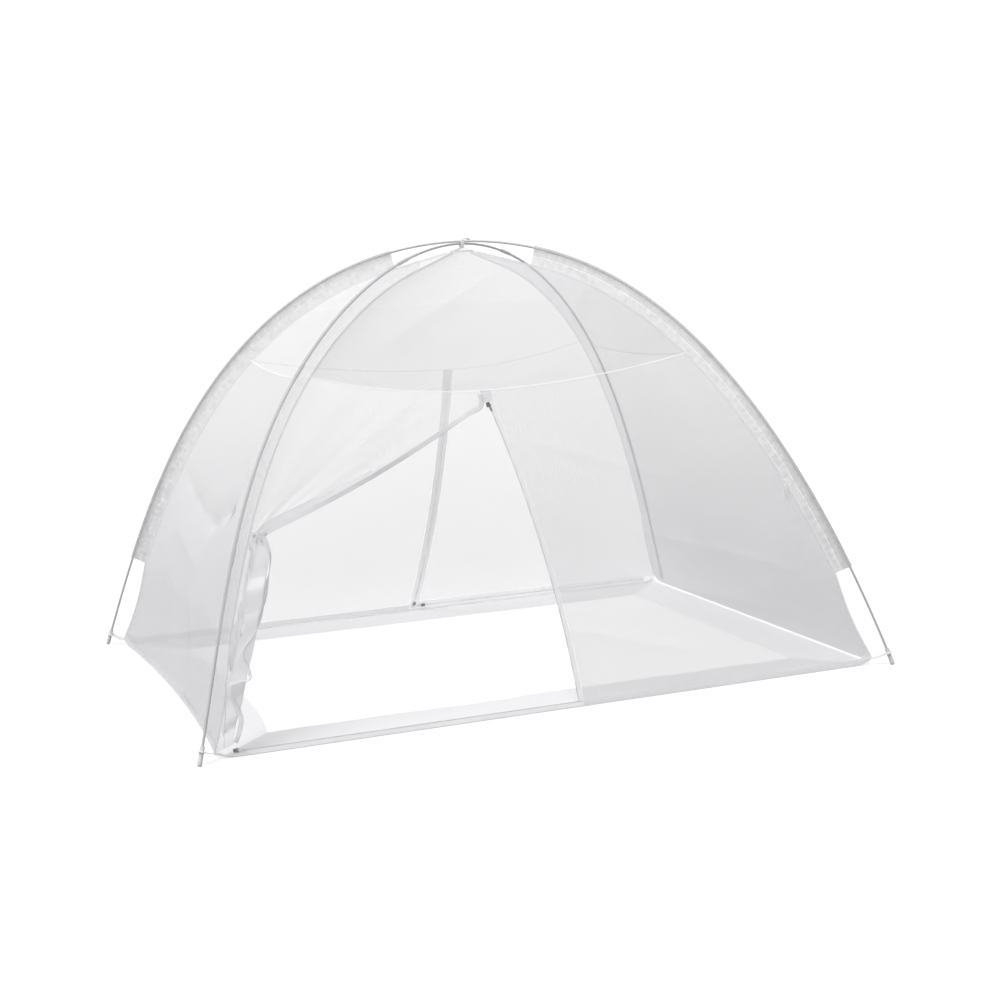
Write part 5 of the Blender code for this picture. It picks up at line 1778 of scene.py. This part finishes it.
def addStitches(name, path):
    # A row of small rounded threads
    bpy.ops.mesh.primitive_cylinder_add(
        vertices=6, radius=stitch["width"] / 2, depth=stitch["length"], rotation=(0, math.pi / 2, 0)
    )
    thread = named(name)
    bpy.ops.object.transform_apply(rotation=True)
    repeat(thread, max(2, int(runOf(path[0])[-1] / stitch["pitch"])), stitch["pitch"])
    layAlong(thread, path, start=stitch["pitch"] / 2)
    finishPiece(thread, "zipTape")


def makePatch(doorName, cloth):
    door = doors[doorName]
    bottom = door.upright(np.array([-0.0006, 0.0]))[0][0]
    top = [door.eave(door.topX + side * tapeReach) for side in (-1, 1)]
    line = lerp(bottom, (top[0] + top[1]) / 2, np.linspace(0, 1, 20))
    path = pathOf(door.turn(line), door.turn(door.out))
    width = 2 * tapeReach
    patch = addStrip(f"{doorName}ZipPatch", runOf(line)[-1], width, 14, 0.0012, rows=12)
    layAlong(patch, path, softRipple(0.0005, 0.006, 941))
    finishPiece(patch, cloth, f"{doorName}_zip_patch")
    over = path[1][0] * width * np.linspace(-0.46, 0.46, 8)[:, None]
    for index, share in enumerate(stitch["rows"]):
        row = path[0][0] + (path[0][-1] - path[0][0]) * share + over
        addStitches(f"{doorName}PatchStitch{index + 1}", shifted(pathOf(row, path[2][0]), out=0.0009))


makePatch("front", "seamTape")
makePatch("rear", "farTape")

peakCap = {"reach": 0.042, "lift": 0.0012, "thick": 0.0010, "cuts": 5}


def makePeak():
    # A four-sided cap over the gores
    near = pointAt(seamLine, seamRun, np.array(seamLength - peakCap["reach"]))
    peak = tent["height"] - tent["peakDrop"] + peakCap["lift"]
    bpy.ops.mesh.primitive_cone_add(vertices=4, radius1=1.0, radius2=0.0, depth=1.0, end_fill_type="NOTHING")
    cap = named("peakPatch")
    for vert in cap.data.vertices:
        if vert.co.z > 0:
            vert.co = (0, 0, peak)
        else:
            angle = math.atan2(vert.co.y, vert.co.x) + math.pi / 4
            x = math.copysign(alongX * near[0], math.cos(angle))
            y = math.copysign(alongY * near[0], math.sin(angle))
            vert.co = (x, y, near[2] + peakCap["lift"])
    editMode()
    bpy.ops.mesh.subdivide(number_cuts=peakCap["cuts"])
    bpy.ops.mesh.normals_make_consistent(inside=False)
    objectMode()
    modify(cap, "SOLIDIFY", thickness=peakCap["thick"], offset=1.0)
    writePlane(cap, placesOf(cap)[:, :2])
    smoothFaces(30)
    finishPiece(cap, "seamTape", "peak_patch")


makePeak()


def addKnot(radius, place, segments, rings, flat=(1, 1, 1)):
    bpy.ops.mesh.primitive_uv_sphere_add(
        segments=segments, ring_count=rings, radius=radius, location=tuple(place)
    )
    knot = bpy.context.object
    knot.scale = flat
    bpy.ops.object.transform_apply(location=True, scale=True)
    knot.data.uv_layers[0].name = "clothPlane"
    return knot


def tieTape(name, turns, count, size, spans, ripple, out=None, centre=None):
    # A narrow tape through the given turns, facing one way or away from a centre
    line = smoothLine(turns, count)
    facing = unit(line - centre) if out is None else out
    strip = addStrip(name, runOf(line)[-1], size[0], spans, size[1])
    layAlong(strip, pathOf(line, facing), softRipple(*ripple))
    return strip


apexTie = {
    "width": 0.012,
    "thick": 0.0011,
    "lift": 0.0016,
    # the loop's turns round both poles, in the plane across the tent
    "loop": (
        (0.0005, 0.0), (0.0072, 0.0010), (0.0088, 0.0050), (0.0086, 0.0130), (0.0070, 0.0182),
        (0.0010, 0.0200),
    ),
    "tails": (
        ((0.000, 0.0200), (0.004, 0.0260), (0.011, 0.0300), (0.017, 0.0330), (0.022, 0.0345)),
        ((0.000, 0.0200), (0.006, 0.0235), (0.013, 0.0250), (0.020, 0.0245), (0.0265, 0.0220)),
    ),
    "knot": {"radius": 0.0048, "place": (0.0008, 0, 0.0212), "flat": (1.0, 0.95, 0.62)},
}


def makeApexTie():
    # The tape that ties the peak to the crossing
    low = tent["height"] - tent["peakDrop"] + apexTie["lift"]
    width, thick, knot = apexTie["width"], apexTie["thick"], apexTie["knot"]
    ring = list(apexTie["loop"]) + [(-x, z) for x, z in apexTie["loop"][::-1]]
    turns = [(0.0, y, low + z) for y, z in ring]
    centre = np.array([0, 0, low + 0.010])
    pieces = [tieTape("apexLoop", turns, 80, (width, thick), 60, (0.0003, 0.01, 951), centre=centre)]
    for index, tail in enumerate(apexTie["tails"]):
        turns = [(x, 0.0015 * (1 - 2 * index), low + z) for x, z in tail]
        pieces.append(tieTape(
            f"apexTail{index}", turns, 30, (width * 0.85, thick), 24, (0.0006, 0.012, 952 + index),
            out=(-0.5, 0.2, 1.0),
        ))
    place = (knot["place"][0], knot["place"][1], low + knot["place"][2])
    pieces.append(addKnot(knot["radius"], place, 20, 12, knot["flat"]))
    finishPiece(joinPieces("apexTie", pieces), "webbing", "apex_tie")


makeApexTie()

flapTie = {
    "width": 0.006,
    "thick": 0.0010,
    "depth": 0.0085,
    "drop": 0.006,
    # the loop's turns: share of the bunch's width, and share of its depth
    "turns": (
        (0.00, 0.001), (0.10, 0.45), (0.3, 0.9), (0.55, 1.0), (0.8, 0.95), (0.97, 0.6), (1.03, 0.0),
        (0.97, -0.6), (0.8, -0.95), (0.55, -1.0), (0.3, -0.9), (0.10, -0.45), (0.00, -0.001),
    ),
    # each tail's way sideways and down
    "tails": ((-0.006, 0.034), (0.010, 0.042)),
}
spareTie = {"width": 0.0052, "thick": 0.0010, "knot": 0.0036, "tails": ((-0.005, 0.056), (0.005, 0.046))}


def makeFlapTie(door):
    # A narrow tape round the gathered flap, from the sleeve's seam and back
    sewn, free, tieShare = flapLines(door)
    seam, edge = sewn(tieShare), free(tieShare)
    run, out = unit(edge - seam), door.out
    reach = float(np.linalg.norm(edge - seam)) + 0.004
    drop = np.array([0, 0, -flapTie["drop"]])
    depth, width, thick = flapTie["depth"], flapTie["width"], flapTie["thick"]
    turns = [
        seam + run * reach * along + out * depth * lift + drop * along for along, lift in flapTie["turns"]
    ]
    centre = seam + run * reach * 0.55 + drop * 0.5
    pieces = [tieTape("tieLoop", turns, 90, (width, thick), 80, (0.0004, 0.01, 961), centre=centre)]
    knot = seam + run * reach * 0.42 + out * (depth + 0.002)
    for index, (side, fall) in enumerate(flapTie["tails"]):
        turns = [
            knot,
            knot + run * side * 0.6 + out * 0.004 - np.array([0, 0, fall * 0.4]),
            knot + run * side + out * 0.003 - np.array([0, 0, fall]),
        ]
        ripple = (0.0006, 0.012, 962 + index)
        pieces.append(tieTape(f"tieTail{index}", turns, 24, (width * 0.9, thick), 20, ripple, out=out))
    finishPiece(joinPieces("doorTieLeft", pieces), "webbing", "door_tie_left")


def makeSpareTie(door):
    # The unused match of the flap's tie, on the other seam
    out, size = door.out, (spareTie["width"], spareTie["thick"])
    seam = ridgeSide(1, door)(seamDistance(flap["tieHeight"]) / eaveRun)
    seam = seam + np.array([-0.006, 0, 0]) + out * 0.005
    pieces = [addKnot(spareTie["knot"], seam, 18, 10)]
    for index, (side, fall) in enumerate(spareTie["tails"]):
        turns = [
            seam,
            seam + np.array([side * 0.4, 0, -fall * 0.45]) + out * 0.010,
            seam + np.array([side, 0, -fall]) + out * 0.015,
        ]
        ripple = (0.0010, 0.012, 971 + index)
        pieces.append(tieTape(f"spareTail{index}", turns, 30, size, 26, ripple, out=out))
    finishPiece(joinPieces("doorTieRight", pieces), "webbing", "door_tie_right")


makeFlapTie(doors["front"])
makeSpareTie(doors["front"])
print("patches and ties made")
